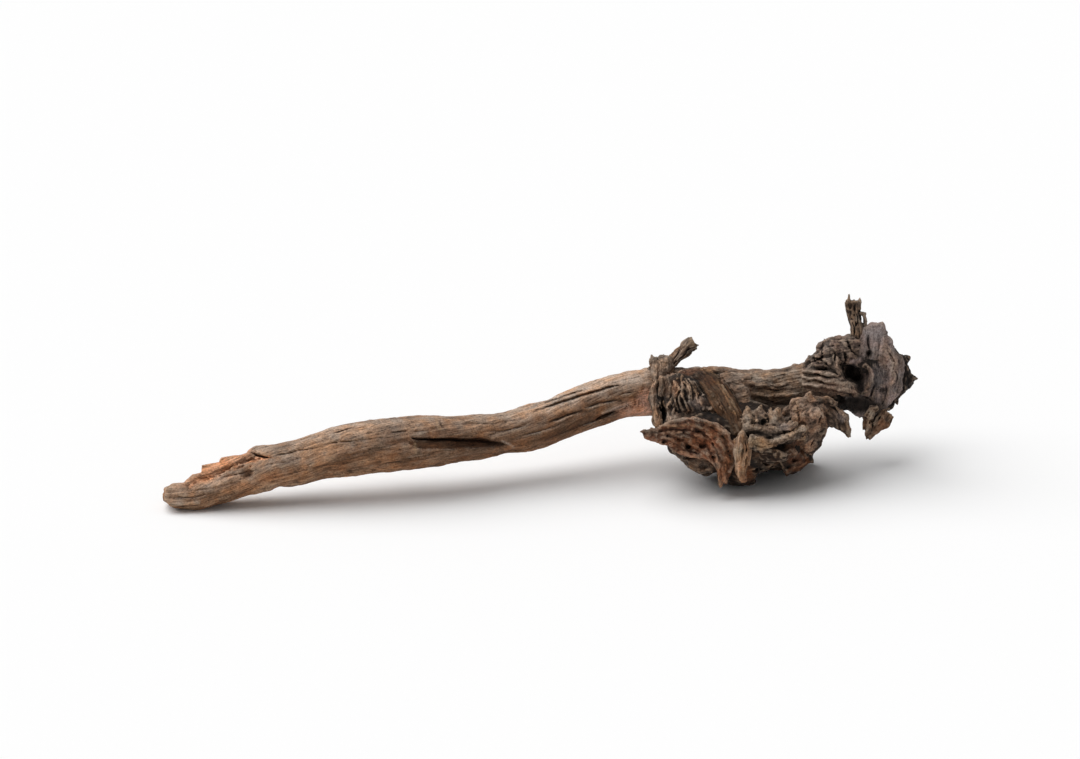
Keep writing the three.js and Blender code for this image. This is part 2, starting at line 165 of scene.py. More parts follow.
def away_from(line, a, u):
    """Distance to a line through across and up values."""
    nearest = np.full(np.shape(a), 1e9)
    for (a0, u0), (a1, u1) in zip(line[:-1], line[1:]):
        da, du = a1 - a0, u1 - u0
        t = np.clip(((a - a0) * da + (u - u0) * du) / (da * da + du * du), 0, 1)
        nearest = np.minimum(nearest, np.hypot(a - a0 - t * da, u - u0 - t * du))
    return nearest


def flat_on(a, u):
    return np.column_stack((a, u, 0 * a))


def bell(distance, wide):
    return np.exp(-(distance / wide) ** 2)


# Curves through stations, as a grown limb runs
def curve(places, sizes, steps):
    """Places and sizes at even shares along a curve through the stations."""
    places, sizes = np.array(places, float), np.array(sizes, float)
    last = len(places) - 1
    share = np.linspace(0, last, steps + 1)
    index = np.minimum(share.astype(int), last - 1)
    t = (share - index)[:, None]

    def around(values):
        full = np.vstack((2 * values[0] - values[1], values, 2 * values[-1] - values[-2]))
        return full[index], full[index + 1], full[index + 2], full[index + 3]

    def hermite(a, b, slope_a, slope_b):
        c2 = -3 * a + 3 * b - 2 * slope_a - slope_b
        c3 = 2 * a - 2 * b + slope_a + slope_b
        return a + slope_a * t + c2 * t * t + c3 * t ** 3

    p0, p1, p2, p3 = around(places)
    d0, d1, d2 = (np.sqrt(np.linalg.norm(b - a, axis=1) + 1e-9)[:, None] for a, b in ((p0, p1), (p1, p2), (p2, p3)))
    slope_1 = ((p1 - p0) / d0 - (p2 - p0) / (d0 + d1) + (p2 - p1) / d1) * d1
    slope_2 = ((p2 - p1) / d1 - (p3 - p1) / (d1 + d2) + (p3 - p2) / d2) * d1
    s0, s1, s2, s3 = around(sizes)
    return hermite(p1, p2, slope_1, slope_2), hermite(s1, s2, 0.3 * (s2 - s0), 0.3 * (s3 - s1))


def frames(path):
    """Three directions at each place of a path: along it, back and to its side."""
    along = np.gradient(path, axis=0)
    along /= np.linalg.norm(along, axis=1)[:, None] + 1e-9
    back = SIGHT_BACK - along * (along @ SIGHT_BACK)[:, None]
    back /= np.linalg.norm(back, axis=1)[:, None] + 1e-9
    return along, back, np.cross(back, along)


class Grain:
    """The run of the fibres: along a path, or straight along one direction."""

    def __init__(self, path=None, direction=(1, 0, 0), twist=0.0):
        if path is None:
            along = np.array(direction, float)
            along /= np.linalg.norm(along)
            path = np.array([-along, along]) * 500
        self.path, self.twist = path, twist
        self.along, self.back, self.side = frames(path)
        self.length = np.concatenate(([0], np.cumsum(np.linalg.norm(np.diff(path, axis=0), axis=1))))

    def straighten(self, points):
        """Each point as a length along the fibres and two distances across them."""
        out = np.empty((len(points), 3), np.float32)
        for start in range(0, len(points), AT_ONCE):
            some = points[start:start + AT_ONCE]
            near = ((some[:, None, :] - self.path[None]) ** 2).sum(-1).argmin(1)
            rest = some - self.path[near]
            s, u, v = ((rest * way[near]).sum(1) for way in (self.along, self.side, self.back))
            s = self.length[near] + s
            turn = s * self.twist
            out[start:start + AT_ONCE] = np.column_stack(
                (s, u * np.cos(turn) - v * np.sin(turn), u * np.sin(turn) + v * np.cos(turn)))
        return out


# How each kind of wood is grained, in millimetres: SKINS gives its light and dark tone, then these in order
SKIN_DEFAULTS = {"seed": 1, "weather": 0.5, "fibre": 0.4, "width": 3.0, "length": 34.0, "lump": 0.4,
                 "lump_size": 12.0, "split": 0, "crag": 0, "crag_size": 6.0, "pit": 0, "pit_size": 4.0, "layer": 0}
SKINS = {
    "trunk": ("neck_light", "neck_dark", 3, 0.4, 0.5, 2.6, 40, 0.45, 14, 0.8, 0, 6, 0, 4, 0.3),
    "fresh break": ("fresh_break", "arm_brown", 21, 0.15, 0.6, 1.7, 24, 0.25, 6, 1.2),
    "arm groove": ("groove", "arm_brown", 23, 0.0, 0.35, 2.0, 26, 0.4, 7),
    # underside of the burl: dark wood, with the near-black painted shade in its darkest grain
    "belly": ("belly", "hollow", 41, 0.0, 0.5, 3.0, 24, 1.2, 9, 0.9, 1.6, 9, 0.8, 5.5),
    "belly lumps": ("bark_light", "bark_dark", 43, 0.2, 0.7, 2.6, 14, 1.1, 8, 1.0, 1.4, 7, 0.8, 5),
    "collar knob": ("crag_grey", "bark_dark", 45, 0.3, 0.8, 1.8, 14, 0.7, 5, 1.0, 1.0, 5),
    # bark core, seen only in the gaps between fan, collar, folds and ear: coloured dark as painted shade
    "bark core": ("belly", "hollow", 47, 0.05, 0.5, 3.0, 34.0, 0.8, 7, 0.6, 0.8),
    "bark fan": ("fan_olive", "fan_dark", 51, 0.0, 0.35, 1.2, 60, 0.25, 14, 0.5, 0, 6, 0, 4, 0.15),
    "bark folds": ("neck_light", "neck_dark", 61, 0.2, 0.7, 1.3, 14, 0.6, 5, 0.9, 0.5, 4),
    "bark pleat": ("crown_lump", "bark_dark", 63, 0.25, 0.3, 1.4, 12, 0.4, 6, 0.4),
    "collar strand": ("crag_grey", "bark_dark", 71, 0.3, 0.8, 1.6, 14, 0.7, 5, 1.0, 1.0, 4.5),
    "collar bark": ("bark_light", "ear_dark", 73, 0.2, 0.4, 1.4, 20, 0.4, 6, 0.6),
    "ear slab": ("ear_red", "ear_dark", 81, 0.15, 0.4, 1.6, 22, 0.9, 8, 0.45, 0.5, 6, 0.6, 4.2),
    "ear rim": ("crag_grey", "ear_dark", 83, 0.35, 0.5, 1.4, 20, 0.5, 4, 0.8, 0.6, 4),
    "wedge": ("wedge_tan", "fan_olive", 87, 0.2, 0.6, 1.5, 22, 0.4, 5, 0.9, 0.5),
    "torn crags": ("crag_grey", "bark_dark", 91, 0.35, 0.7, 2.0, 12, 0.8, 6, 0.8, 1.2, 6, 0.6),
    "pale crags": ("ridge_pale", "crag_grey", 93, 0.35, 0.5, 1.6, 10, 0.6, 4, 0.7, 1.1, 4.5),
    "porous knob": ("knob_brown", "bark_dark", 95, 0.3, 0.3, 1.5, 5, 0.7, 8, 0, 0.2, 6, 1.0, 2.2),
    "lobe": ("lobe_brown", "belly", 97, 0.15, 0.7, 1.8, 16, 0.8, 5, 0.8, 0.9, 5, 0.5, 3.4),
    "crag flow": ("fan_dark", "belly", 99, 0.0, 0.6, 2.4, 20, 0.8, 8, 0.6, 0.6, 9, 0.5, 5),
    "crown plate": ("crown_grey", "crown_lump", 101, 0.3, 0.4, 1.8, 18, 0.5, 7, 0.6, 0.7, 8, 0.3, 3),
    "crown lumps": ("crown_lump", "crown_dark", 103, 0.35, 0.6, 2.0, 12, 0.9, 7, 0.9, 2.2, 7, 0.6, 4.2),
    # rear flange: dark wood, with the near-black painted shade in its darkest grain
    "rear flange": ("crown_dark", "hollow", 105, 0.05, 0.6, 2.0, 10, 0.8, 6, 0.6, 1.0),
    "crown ribs": ("neck_light", "crown_dark", 107, 0.25, 0.5, 1.4, 12, 0.6, 5, 0.6, 0.8, 4),
    "twig": ("neck_light", "bark_dark", 111, 0.5, 0.5, 1.6, 16, 0.4, 4, 1.0),
    "prong": ("prong_tan", "bark_dark", 121, 0.4, 0.5, 1.5, 18, 0.4, 4, 1.1),
    "lower root": ("nub_brown", "bark_dark", 131, 0.35, 0.5, 1.6, 10, 0.8, 4, 0.8, 0, 6, 0.6, 3)}


class Skin:
    """How one form is grained, roughened and coloured."""

    def __init__(self, kind, grain, tones, before=None):
        light, dark, *values = SKINS[kind]
        self.__dict__.update(SKIN_DEFAULTS, grain=grain, light=getattr(tones, light), dark=getattr(tones, dark),
                             before=before, **dict(zip(SKIN_DEFAULTS, values)))

    def relief(self, points, straight):
        """How far the surface stands out at each place."""
        def fibres(long, wide, seed):
            return noise(straight / (self.length * long, self.width * wide, self.width * wide), self.seed + seed)

        height = self.fibre * (
            0.7 * (1 - 2 * np.abs(fibres(1, 1, 0))) + 0.4 * (1 - 2 * np.abs(fibres(0.5, 0.45, 3))))
        height = height + self.lump * rough(points / self.lump_size, self.seed + 5, 3)
        if self.split:
            some = step_up(noise(straight / (self.length * 1.2, 9, 9), self.seed + 11), -0.1, 0.35)
            height = height - self.split * some * step_up(0.09 - np.abs(fibres(2.4, 3, 9)), 0, 0.09)
        if self.pit:
            height = height - self.pit * step_up(0.42 - cells(points / self.pit_size, self.seed + 13), 0, 0.3)
        if self.layer:
            height = height + self.layer * np.tanh(7 * fibres(1.7, 3.2, 15))
        if self.crag:
            bent = points / self.crag_size
            bent = bent + 0.5 * np.column_stack([noise(bent * 1.3, self.seed + 17 + i) for i in range(3)])
            height = height + self.crag * (cells(bent, self.seed + 19) - 0.5)
            height = height + 0.45 * self.crag * (cells(bent * 2.2, self.seed + 23) - 0.5)
        return height


class Wood:
    """Wood as a field of distances to its surface, on a grid of small cubes."""

    def __init__(self, low, high, cube):
        self.cube = cube
        self.first = np.floor(np.array(low) / self.cube).astype(int)
        self.count = np.ceil(np.array(high) / self.cube).astype(int) - self.first + 1
        self.whole = tuple(slice(0, n) for n in self.count)
        self.reach = BAND * self.cube
        self.field = np.full(self.count, self.reach, np.float32)
        self.owner = np.zeros(self.count, np.uint8)
        self.skins = []
        self.bent = False

    def skin(self, *args, **options):
        self.skins.append(Skin(*args, **options))
        return len(self.skins) - 1

    def window(self, low, high, margin):
        """The part of the grid between two corners, or None where they miss it."""
        start = np.floor((np.array(low) - margin) / self.cube).astype(int) - self.first
        stop = np.ceil((np.array(high) + margin) / self.cube).astype(int) - self.first + 1
        start, stop = np.maximum(start, 0), np.minimum(stop, self.count)
        return None if (stop <= start).any() else tuple(slice(a, b) for a, b in zip(start, stop))

    def axes(self, place):
        x, y, z = (((np.arange(s.start, s.stop) + f) * self.cube).astype(np.float32)
                   for s, f in zip(place, self.first))
        return x[:, None, None], y[None, :, None], z[None, None, :]

    def join(self, place, distance, soft, skin, carve):
        """Adds a form, or takes it away, with a rounded seam."""
        side = -1 if carve else 1
        field = side * self.field[place]
        if skin is not None:
            self.owner[place][(distance < field) & (not carve or np.abs(distance) < CARVED_DEPTH)] = skin
        blend = np.maximum(soft - np.abs(field - distance), 0) / max(soft, 1e-6)
        self.field[place] = side * (np.minimum(field, distance) - blend * blend * soft / 4)

    def tube(self, stations, soft=2.0, skin=None, carve=False, **shape):
        """Joins or carves a limb."""
        self.add(limb(stations, **shape)[0], soft, skin, carve)

    def add(self, form, soft=2.0, skin=None, carve=False):
        """Joins or carves a closed form given as points and triangles."""
        points, triangles = form
        place = self.window(points.min(0), points.max(0), self.reach)
        if place is None:
            return
        spacing = openvdb.createLinearTransform(self.cube)
        grid = openvdb.FloatGrid.createLevelSetFromPolygons(
            points.astype(np.float32), triangles=triangles.astype(np.uint32), transform=spacing, halfWidth=BAND)
        distance = np.zeros([s.stop - s.start for s in place], np.float32)
        grid.copyToArray(distance, ijk=tuple(int(s.start + f) for s, f in zip(place, self.first)))
        self.join(place, distance, soft, skin, carve)

    def ball(self, middle, radii, soft=2.0, skin=None, bumps=0.1, wavelength=40.0, seed=1, turn=0.0, carve=False):
        """A ball stretched to wide, tall and deep radii and made uneven."""
        wide, tall, deep = radii
        centre = at(*middle)
        reach = max(radii) * (1 + 2 * bumps)
        place = self.window(centre - reach, centre + reach, self.reach)
        if place is None:
            return
        dx, dy, dz = (axis - c for axis, c in zip(self.axes(place), centre))
        up = dy * SIGHT_UP[1] + dz * SIGHT_UP[2]
        q = dy * SIGHT_BACK[1] + dz * SIGHT_BACK[2] + 0 * dx
        p = dx * math.cos(turn) + up * math.sin(turn)
        r = -dx * math.sin(turn) + up * math.cos(turn)
        k0, k1 = roundness((p, wide), (q, deep), (r, tall))
        swell = bumps * wander(p / k0, q / k0, r / k0, wavelength, seed)
        distance = np.clip((k0 - 1 - swell) * k0 / k1, -self.reach, self.reach).astype(np.float32)
        self.join(place, distance, soft, skin, carve)

    def balls(self, *rows):
        for row in rows:
            self.ball(*row)

    def strand(self, places, radii, soft=1.2, skin=None, carve=False):
        """A thin run of wood, or a crack where it carves, through places with wide and deep radii."""
        places, radii = np.array(places, float), np.array(radii, float)
        margin = radii.max() + soft + 1.5 * self.cube
        place = self.window(places.min(0), places.max(0), margin)
        if place is None:
            return
        distance = np.full([s.stop - s.start for s in place], self.reach, np.float32)
        for a, b, size_a, size_b in zip(places[:-1], places[1:], radii[:-1], radii[1:]):
            part = self.window(np.minimum(a, b), np.maximum(a, b), margin)
            if part is None:
                continue
            length = np.linalg.norm(b - a) + 1e-6
            along = (b - a) / length
            deep = SIGHT_BACK - along * (along @ SIGHT_BACK)
            deep /= np.linalg.norm(deep) + 1e-6
            side = np.cross(deep, along)
            dx, dy, dz = (axis - c for axis, c in zip(self.axes(part), a))
            run, across, inward = (dx * way[0] + dy * way[1] + dz * way[2] for way in (along, side, deep))
            t = np.clip(run / length, 0, 1)
            w, d = (size_a[n] + (size_b[n] - size_a[n]) * t for n in (0, 1))
            k0, k1 = roundness((across, w), (inward, d), (run - t * length, w))
            local = tuple(slice(s.start - o.start, s.stop - o.start) for s, o in zip(part, place))
            np.minimum(distance[local], (k0 - 1) * k0 / k1, out=distance[local])
        self.join(place, distance, soft, skin, carve)

    def front(self, across, up):
        """How far back the nearest wood lies on each line of sight."""
        across, up = np.atleast_1d(across).astype(float), np.atleast_1d(up).astype(float)
        backs = np.arange(*SIGHT_REACH, self.cube * 0.7)
        index = np.rint(at(across[:, None], up[:, None], backs[None, :]) / self.cube).astype(int) - self.first
        inside = ((index >= 0) & (index < self.count)).all(-1)
        index = np.clip(index, 0, self.count - 1)
        values = np.where(inside, self.field[index[..., 0], index[..., 1], index[..., 2]], self.reach)
        hit = values < 0
        return backs[np.where(hit.any(1), hit.argmax(1), values.argmin(1))]

    def front_at(self, across, up):
        return float(self.front(across, up)[0])

    def drawn(self, line, spacing=2.5):
        """Places on the near surface along a line of across and up values."""
        line = np.array(line, float)
        flat = np.hstack((line, np.zeros((len(line), 1))))
        total = np.linalg.norm(np.diff(line, axis=0), axis=1).sum()
        steps = max(2, int(total / spacing))
        path = curve(flat, flat[:, :1], steps)[0] if len(line) > 2 else np.linspace(flat[0], flat[-1], steps + 1)
        back = self.front(path[:, 0], path[:, 1])
        for _ in range(3):
            padded = np.concatenate((back[:1], back, back[-1:]))
            back = (padded[:-2] + padded[1:-1] + padded[2:]) / 3
        places = at(path[:, 0], path[:, 1], back)
        return places - drift(places) if self.bent else places

    def crack(self, line, wide=1.2, deep=3.0, soft=0.5, skin=None, spacing=2.5):
        """A crack in the near surface, narrow at both ends."""
        places = self.drawn(line, spacing)
        taper = np.clip(np.sin(np.pi * np.linspace(0, 1, len(places))) * 1.6, 0.25, 1)
        self.strand(places, np.column_stack((wide / 2 * taper, deep * taper)), soft, skin, carve=True)

    def ridge(self, line, wide=2.0, tall=1.5, soft=1.2, skin=None, sink=0.0):
        """A raised strand on the near surface, narrow at both ends."""
        places = self.drawn(line) + sink * SIGHT_BACK
        taper = np.clip(np.sin(np.pi * np.linspace(0, 1, len(places))) * 1.5, 0.3, 1)
        self.strand(places, np.column_stack((wide / 2 * taper, tall * taper)), soft, skin)

    def thorn(self, start, end, wide, deep, soft=1.5, skin=None):
        """A spike that narrows from its root to its tip."""
        a, b = np.array(start, float), np.array(end, float)
        share = np.linspace(0, 1, 6)[:, None]
        size = 1 - 0.9 * share ** 1.1
        self.strand(at(*(a + (b - a) * share).T), np.hstack((wide / 2 * size, deep / 2 * size)), soft, skin)

    def thorns(self, rows, soft, skin):
        """Spikes given as a root, a tip and a thickness."""
        for start, end, wide in rows:
            self.thorn(start, end, wide, wide, soft, skin)

    def plate(self, outline, near, depth, soft=2.0, skin=None, lean_across=0.0, lean_up=0.0, ragged=0.6,
              bevel=3.0, shape=None, seed=1, carve=False):
        """A slab with a ragged outline and, where shape is given, a front that rises and falls."""
        outline = np.array(outline, float)
        border, pitch = 12, 0.6
        low, high = outline.min(0) - border, outline.max(0) + border
        middle = (outline.min(0) + outline.max(0)) / 2
        a, u = (np.arange(low[n], high[n], pitch) for n in (0, 1))
        grid_a, grid_u = (g.ravel() for g in np.meshgrid(a, u, indexing="ij"))
        inside = np.zeros(len(grid_a), bool)
        for (a0, u0), (a1, u1) in zip(outline, np.roll(outline, -1, axis=0)):
            crosses = (u0 > grid_u) != (u1 > grid_u)
            inside ^= crosses & (grid_a < a0 + (grid_u - u0) * (a1 - a0) / ((u1 - u0) or 1e-9))
        edge = away_from(np.vstack((outline, outline[:1])), grid_a, grid_u) * np.where(inside, -1, 1)
        edge = edge + ragged * rough(flat_on(grid_a, grid_u) / 5, seed, 3) * 1.4
        height = shape(grid_a, grid_u, edge) if shape else np.zeros(len(grid_a))
        edge, height = (v.reshape(len(a), len(u)).astype(np.float32) for v in (edge, height))
        thick = depth + abs(lean_across) * (high[0] - low[0]) / 2 + abs(lean_up) * (high[1] - low[1]) / 2 + 6
        corners = [at(*corner) for corner in product(*zip(low, high), (near - thick, near + thick + depth))]
        place = self.window(np.min(corners, 0), np.max(corners, 0), 0)
        if place is None:
            return
        across, up, back = np.broadcast_arrays(*sighted(*self.axes(place)))
        ia = np.clip((across - low[0]) / pitch, 0, len(a) - 1.001)
        iu = np.clip((up - low[1]) / pitch, 0, len(u) - 1.001)
        ja, ju = ia.astype(np.int32), iu.astype(np.int32)
        fa, fu = ia - ja, iu - ju

        def sample(values):
            low_row, high_row = (values[ja + n, ju] * (1 - fu) + values[ja + n, ju + 1] * fu for n in (0, 1))
            return low_row * (1 - fa) + high_row * fa

        lean = lean_across * (across - middle[0]) + lean_up * (up - middle[1])
        distance = sample(edge)
        for face in (near + lean - sample(height) - back, back - (near + depth + lean)):
            blend = np.maximum(bevel - np.abs(distance - face), 0) / bevel
            distance = np.maximum(distance, face) + blend * blend * bevel / 4
        distance = np.clip(distance * 0.9, -self.reach, self.reach).astype(np.float32)
        self.join(place, distance, soft, skin, carve)

    def keep(self, low=None, high=None):
        """Keeps only what lies between two x values."""
        x, _, _ = self.axes(self.whole)
        if low is not None:
            np.maximum(self.field, low - x, out=self.field)
        if high is not None:
            np.maximum(self.field, x - high, out=self.field)

    def near_surface(self, distance):
        near = np.nonzero(np.abs(self.field).ravel() < distance)[0]
        spots = np.column_stack(np.unravel_index(near, self.count))
        return near, (spots + self.first) * self.cube

    def owners(self, points):
        index = np.clip(np.rint(points / self.cube).astype(int) - self.first, 0, self.count - 1)
        return self.owner[tuple(index.T)]

    def warp(self):
        """Bends every form as growth and decay have bent it."""
        near, points = self.near_surface(min(0.75 * self.reach, DRIFT_REACH))
        moved = points + drift(points)
        values, owner = self.sample(self.field, moved), self.owners(moved)
        self.field.ravel()[near] = values
        self.owner.ravel()[near] = owner
        self.bent = True

    def roughen(self):
        """Gives every form the relief of its skin."""
        self.warp()
        near, points = self.near_surface(min(0.8 * self.reach, RELIEF_REACH))
        owner = self.owner.ravel()[near]
        height = np.zeros(len(near), np.float32)
        for number, skin in enumerate(self.skins):
            own = owner == number
            if own.any():
                height[own] = skin.relief(points[own], skin.grain.straighten(points[own]))
        self.field.ravel()[near] -= height

    def blurred(self, radius):
        size = max(1, int(round(radius / self.cube)))
        out = self.field
        for axis in range(3):
            pad = [(0, 0)] * 3
            pad[axis] = (size + 1, size)
            total = np.moveaxis(np.cumsum(np.pad(out, pad, mode="edge"), axis=axis, dtype=np.float64), axis, 0)
            mean = (total[2 * size + 1:] - total[:-2 * size - 1]) / (2 * size + 1)
            out = np.moveaxis(mean, 0, axis).astype(np.float32)
        return out

    def sample(self, values, points):
        place = np.clip(points / self.cube - self.first, 0, self.count - 1.001)
        cell = place.astype(int)
        x, y, z = cell.T
        return corner_blend(place - cell, lambda i, j, k: values[x + i, y + j, z + k])

    def surface(self, tones, stands=False):
        """The closed surface of the largest body, under its first coat of colour."""
        if stands:
            np.maximum(self.field, -self.axes(self.whole)[2] - np.float32(SINK), out=self.field)
        for axis, side in product(range(3), (0, -1)):
            np.moveaxis(self.field, axis, 0)[side] = self.reach
        grid = openvdb.FloatGrid(background=self.reach)
        grid.transform = openvdb.createLinearTransform(self.cube)
        grid.copyFromArray(np.clip(self.field, -self.reach, self.reach), ijk=tuple(int(v) for v in self.first))
        points, quads = grid.convertToQuads(isovalue=0.0)
        surface = Surface(self, *largest_body(np.array(points, float), np.array(quads, int)))
        surface.undercoat(tones)
        return surface


def largest_body(points, quads):
    """Drops loose crumbs, so that one closed body is left."""
    label = np.arange(len(points))
    a, b = np.vstack([quads[:, [i, (i + 1) % 4]] for i in range(4)]).T
    while True:
        low = np.minimum(label[a], label[b])
        new = label.copy()
        for end in (label[a], label[b], a, b):
            np.minimum.at(new, end, low)
        new = new[new]
        if (new == label).all():
            break
        label = new
    names, sizes = np.unique(label, return_counts=True)
    kept = label == names[sizes.argmax()]
    return points[kept], (np.cumsum(kept) - 1)[quads[kept[quads[:, 0]]]]


class Surface:
    """Points and faces with their normals, place, grain, hollows and edges."""

    def __init__(self, wood, points, quads):
        def gathered(values, ways):
            """Each point's sum of the values that its faces bring to it."""
            total = np.zeros_like(points)
            for i, j, axis in product(range(4), ways, range(3)):
                brought = values[:, axis] if j is None else values[quads[:, (i + j) % 4], axis]
                total[:, axis] += np.bincount(quads[:, i], brought, len(points))
            return total

        self.quads, self.skins = quads, wood.skins
        count = 2 * np.bincount(quads.ravel(), minlength=len(points))
        points = points * 0.72 + gathered(points, (1, 3)) / count[:, None] * 0.28
        self.points = points
        face = np.cross(points[quads[:, 2]] - points[quads[:, 0]], points[quads[:, 3]] - points[quads[:, 1]])
        normal = gathered(face, (None,))
        self.normal = normal / (np.linalg.norm(normal, axis=1)[:, None] + 1e-9)
        self.across, self.up, self.back = sighted(*(points + drift(points)).T)
        self.faces_eye = step_up(self.normal @ -SIGHT_BACK, -0.15, 0.25)
        self.owner = wood.owners(points)
        # how deep each point lies in a hollow, and how far its edge stands out or sinks in: they set the painted
        # shade and the worn edges
        self.hollow = wood.sample(wood.blurred(4.2), points)
        self.edge = wood.sample(wood.blurred(1.6), points)
        self.grain = np.zeros((len(points), 3), np.float32)
        for number, skin in enumerate(wood.skins):
            own = self.owner == number
            if own.any():
                self.grain[own] = skin.grain.straighten(points[own])
        self.colour = np.zeros((len(points), 3), np.float32)

    def patch(self, across, up, wide, tall, turn=0.0, blur=0.5, seed=1):
        """How strongly a soft patch covers each point, from 0 to 1."""
        da, du = self.across - across, self.up - up
        p = (da * math.cos(turn) + du * math.sin(turn)) / wide
        q = (-da * math.sin(turn) + du * math.cos(turn)) / tall
        away = np.sqrt(p * p + q * q) + 0.35 * rough(self.points / (0.5 * min(wide, tall) + 1.5), seed, 2)
        return step_up(1 + blur - away, 0, 2 * blur) * self.faces_eye

    def line(self, places, wide, blur=1.0, seed=1):
        """How strongly a soft line through across and up values covers each point."""
        away = away_from(places, self.across, self.up) + 0.5 * wide * noise(self.points / (wide + 1), seed)
        return step_up(wide + blur - away, 0, 2 * blur) * self.faces_eye

    def tint(self, cover, colour):
        self.colour += (np.array(colour, np.float32)[:3] - self.colour) * np.clip(cover, 0, 1)[:, None]

    def paint(self, tones, *rows):
        """Tints one place after another: share, tone, seed, and then what a patch or a line takes."""
        for share, name, seed, *place in rows:
            cover = self.line if isinstance(place[0], (list, tuple)) else self.patch
            self.tint(share * cover(*place, seed=seed), getattr(tones, name))

    def undercoat(self, tones):
        """Every form's own two colours, then weather on top, painted shade and dirt in hollows, wear on edges and
        painted shade in fine creases.
        """
        for number, skin in enumerate(self.skins):
            own = self.owner == number
            if not own.any():
                continue
            mix = rough(self.grain[own] / (26, 5, 5), skin.seed + 31, 3) * 0.9
            mix = mix + 0.5 * noise(self.points[own] / 17, skin.seed + 37)
            share = step_up(mix, -0.75, 0.75)[:, None]
            light, dark, weather = np.array(skin.light), np.array(skin.dark), skin.weather
            if skin.before:
                past = step_up(self.points[own, 0], 50, 135)
                light, dark = (np.array(old) + (new - np.array(old)) * past[:, None]
                               for old, new in zip(skin.before, (light, dark)))
                weather = skin.before[2] + (weather - skin.before[2]) * past
            dusty = weather * step_up(self.normal[own, 2], -0.2, 0.9)
            dusty = dusty * (0.6 + 0.4 * rough(self.points[own] / 8, skin.seed + 41, 2))
            colour = dark * (1 - share) + light * share
            self.colour[own] = colour + (np.array(tones.weathered)[:3] - colour) * dusty[:, None]
        # painted shade and dirt: darker the deeper a point lies in a hollow
        self.colour *= np.exp(np.clip(self.hollow, -3, 0) * 0.7)[:, None]
        self.tint(step_up(self.edge, 0.10, 0.5) * 0.45, tones.worn_edge)
        # painted shade in fine creases, where the surface sinks in
        self.colour *= np.exp(np.clip(self.edge, -0.8, 0) * 1.6)[:, None]


def grain_path(columns, steps):
    """A smooth path through places given as lists of across, up and back."""
    places = at(*columns)
    return curve(places, np.ones((len(places), 1)), steps)[0]


def limb(stations, sides=44, flutes=3, fluting=0.08, twist=0.4, lumps=0.6, seed=1, grow=0.0, spacing=1.3):
    """A closed tube through stations of across, up, back, tall and deep; returns the form and its path."""
    stations = np.array(stations, float)
    places = at(*stations[:, :3].T)
    steps = max(6, int(np.linalg.norm(np.diff(places, axis=0), axis=1).sum() / spacing))
    path, size = curve(places, stations[:, 3:] / 2, steps)
    _, back, side = frames(path)
    share = np.linspace(0, 1, steps + 1)[:, None]
    angle = np.linspace(0, 2 * np.pi, sides, endpoint=False)
    wave = 1 + fluting * np.cos(flutes * angle + twist * 2 * np.pi * share + seed)
    uneven = wander(*path.T[..., None], 30, seed + 2 * np.cos(angle)) * lumps
    tall, deep = (np.maximum(size[:, n:n + 1] * wave + uneven + grow, 0.08) for n in (0, 1))
    ring = (path[:, None, :] + back[:, None, :] * (deep * np.cos(angle))[..., None]
            + side[:, None, :] * (tall * np.sin(angle))[..., None])
    points = np.vstack((ring.reshape(-1, 3), path[:1], path[-1:]))
    around = np.arange(sides)
    after = (around + 1) % sides
    row = sides * np.arange(steps)[:, None]
    a, b = (row + around).ravel(), (row + after).ravel()
    first, final = (np.full(sides, len(points) - n) for n in (2, 1))
    top = steps * sides
    triangles = np.vstack([np.column_stack(corners) for corners in (
        (a, b, b + sides), (a, b + sides, a + sides), (around, first, after), (top + around, top + after, final))])
    return (points, triangles), path


TRUNK = [
    (-300.8, -8, -50.3, 9, 12), (-292, -8.4, -50.2, 19, 21), (-280, -8.8, -49.6, 21, 26),
    (-264, -4.2, -49.1, 25, 30), (-248, 0.8, -47.6, 26, 32), (-232, 7.2, -46, 29, 34), (-214, 14.4, -44.9, 34, 36),
    (-195, 18, -41.8, 35, 37), (-176, 23.6, -40.7, 36, 38), (-147, 29.6, -37.5, 41.5, 41),
    (-109, 33.6, -30.5, 43.5, 43), (-80, 36, -26, 39, 40), (-51, 38.4, -17.3, 34.5, 36), (-22, 42.8, -7.2, 33, 34),
    (6, 49.8, 1, 34.5, 34), (35, 61, 8.6, 35.5, 35), (64, 70.6, 16.8, 36, 36), (86.4, 74.4, 22.9, 37, 37),
    (112, 74.6, 26.6, 38, 38), (144, 74.6, 26.7, 38, 38), (176, 75.2, 25.8, 34, 36), (200, 79, 26.4, 32, 34),
    (216, 81.2, 29, 34, 36), (240, 84, 30, 38, 38)]


def trunk(grow=0.0):
    return limb(TRUNK, sides=96, flutes=5, fluting=0.035, twist=1.2, lumps=0.7, seed=2, grow=grow, spacing=1.5)


def trunk_skin(wood, tones):
    """The skin of the limb that four pieces share: arm wood that turns into neck wood."""
    _, path = trunk()
    return wood.skin("trunk", Grain(path, twist=0.006), tones, before=(tones.arm_light, tones.arm_brown, 0.8))


def tone(red, green, blue):
    """A colour as an eye reads it on a 0 to 255 scale, turned to a light strength."""
    def light(value):
        value /= 255
        return value / 12.92 if value <= 0.04045 else ((value + 0.055) / 1.055) ** 2.4
    return light(red), light(green), light(blue)


def colour_of(label, about, *red_green_blue):
    return FloatVectorProperty(
        name=label, description=about, subtype="COLOR", size=3, min=0, max=1, default=tone(*red_green_blue))


def step_of(label, part, size, smallest=0.4):
    return FloatProperty(
        name=label, description=f"Size of the smallest step in {part}, in mm", default=size, min=smallest, max=4)


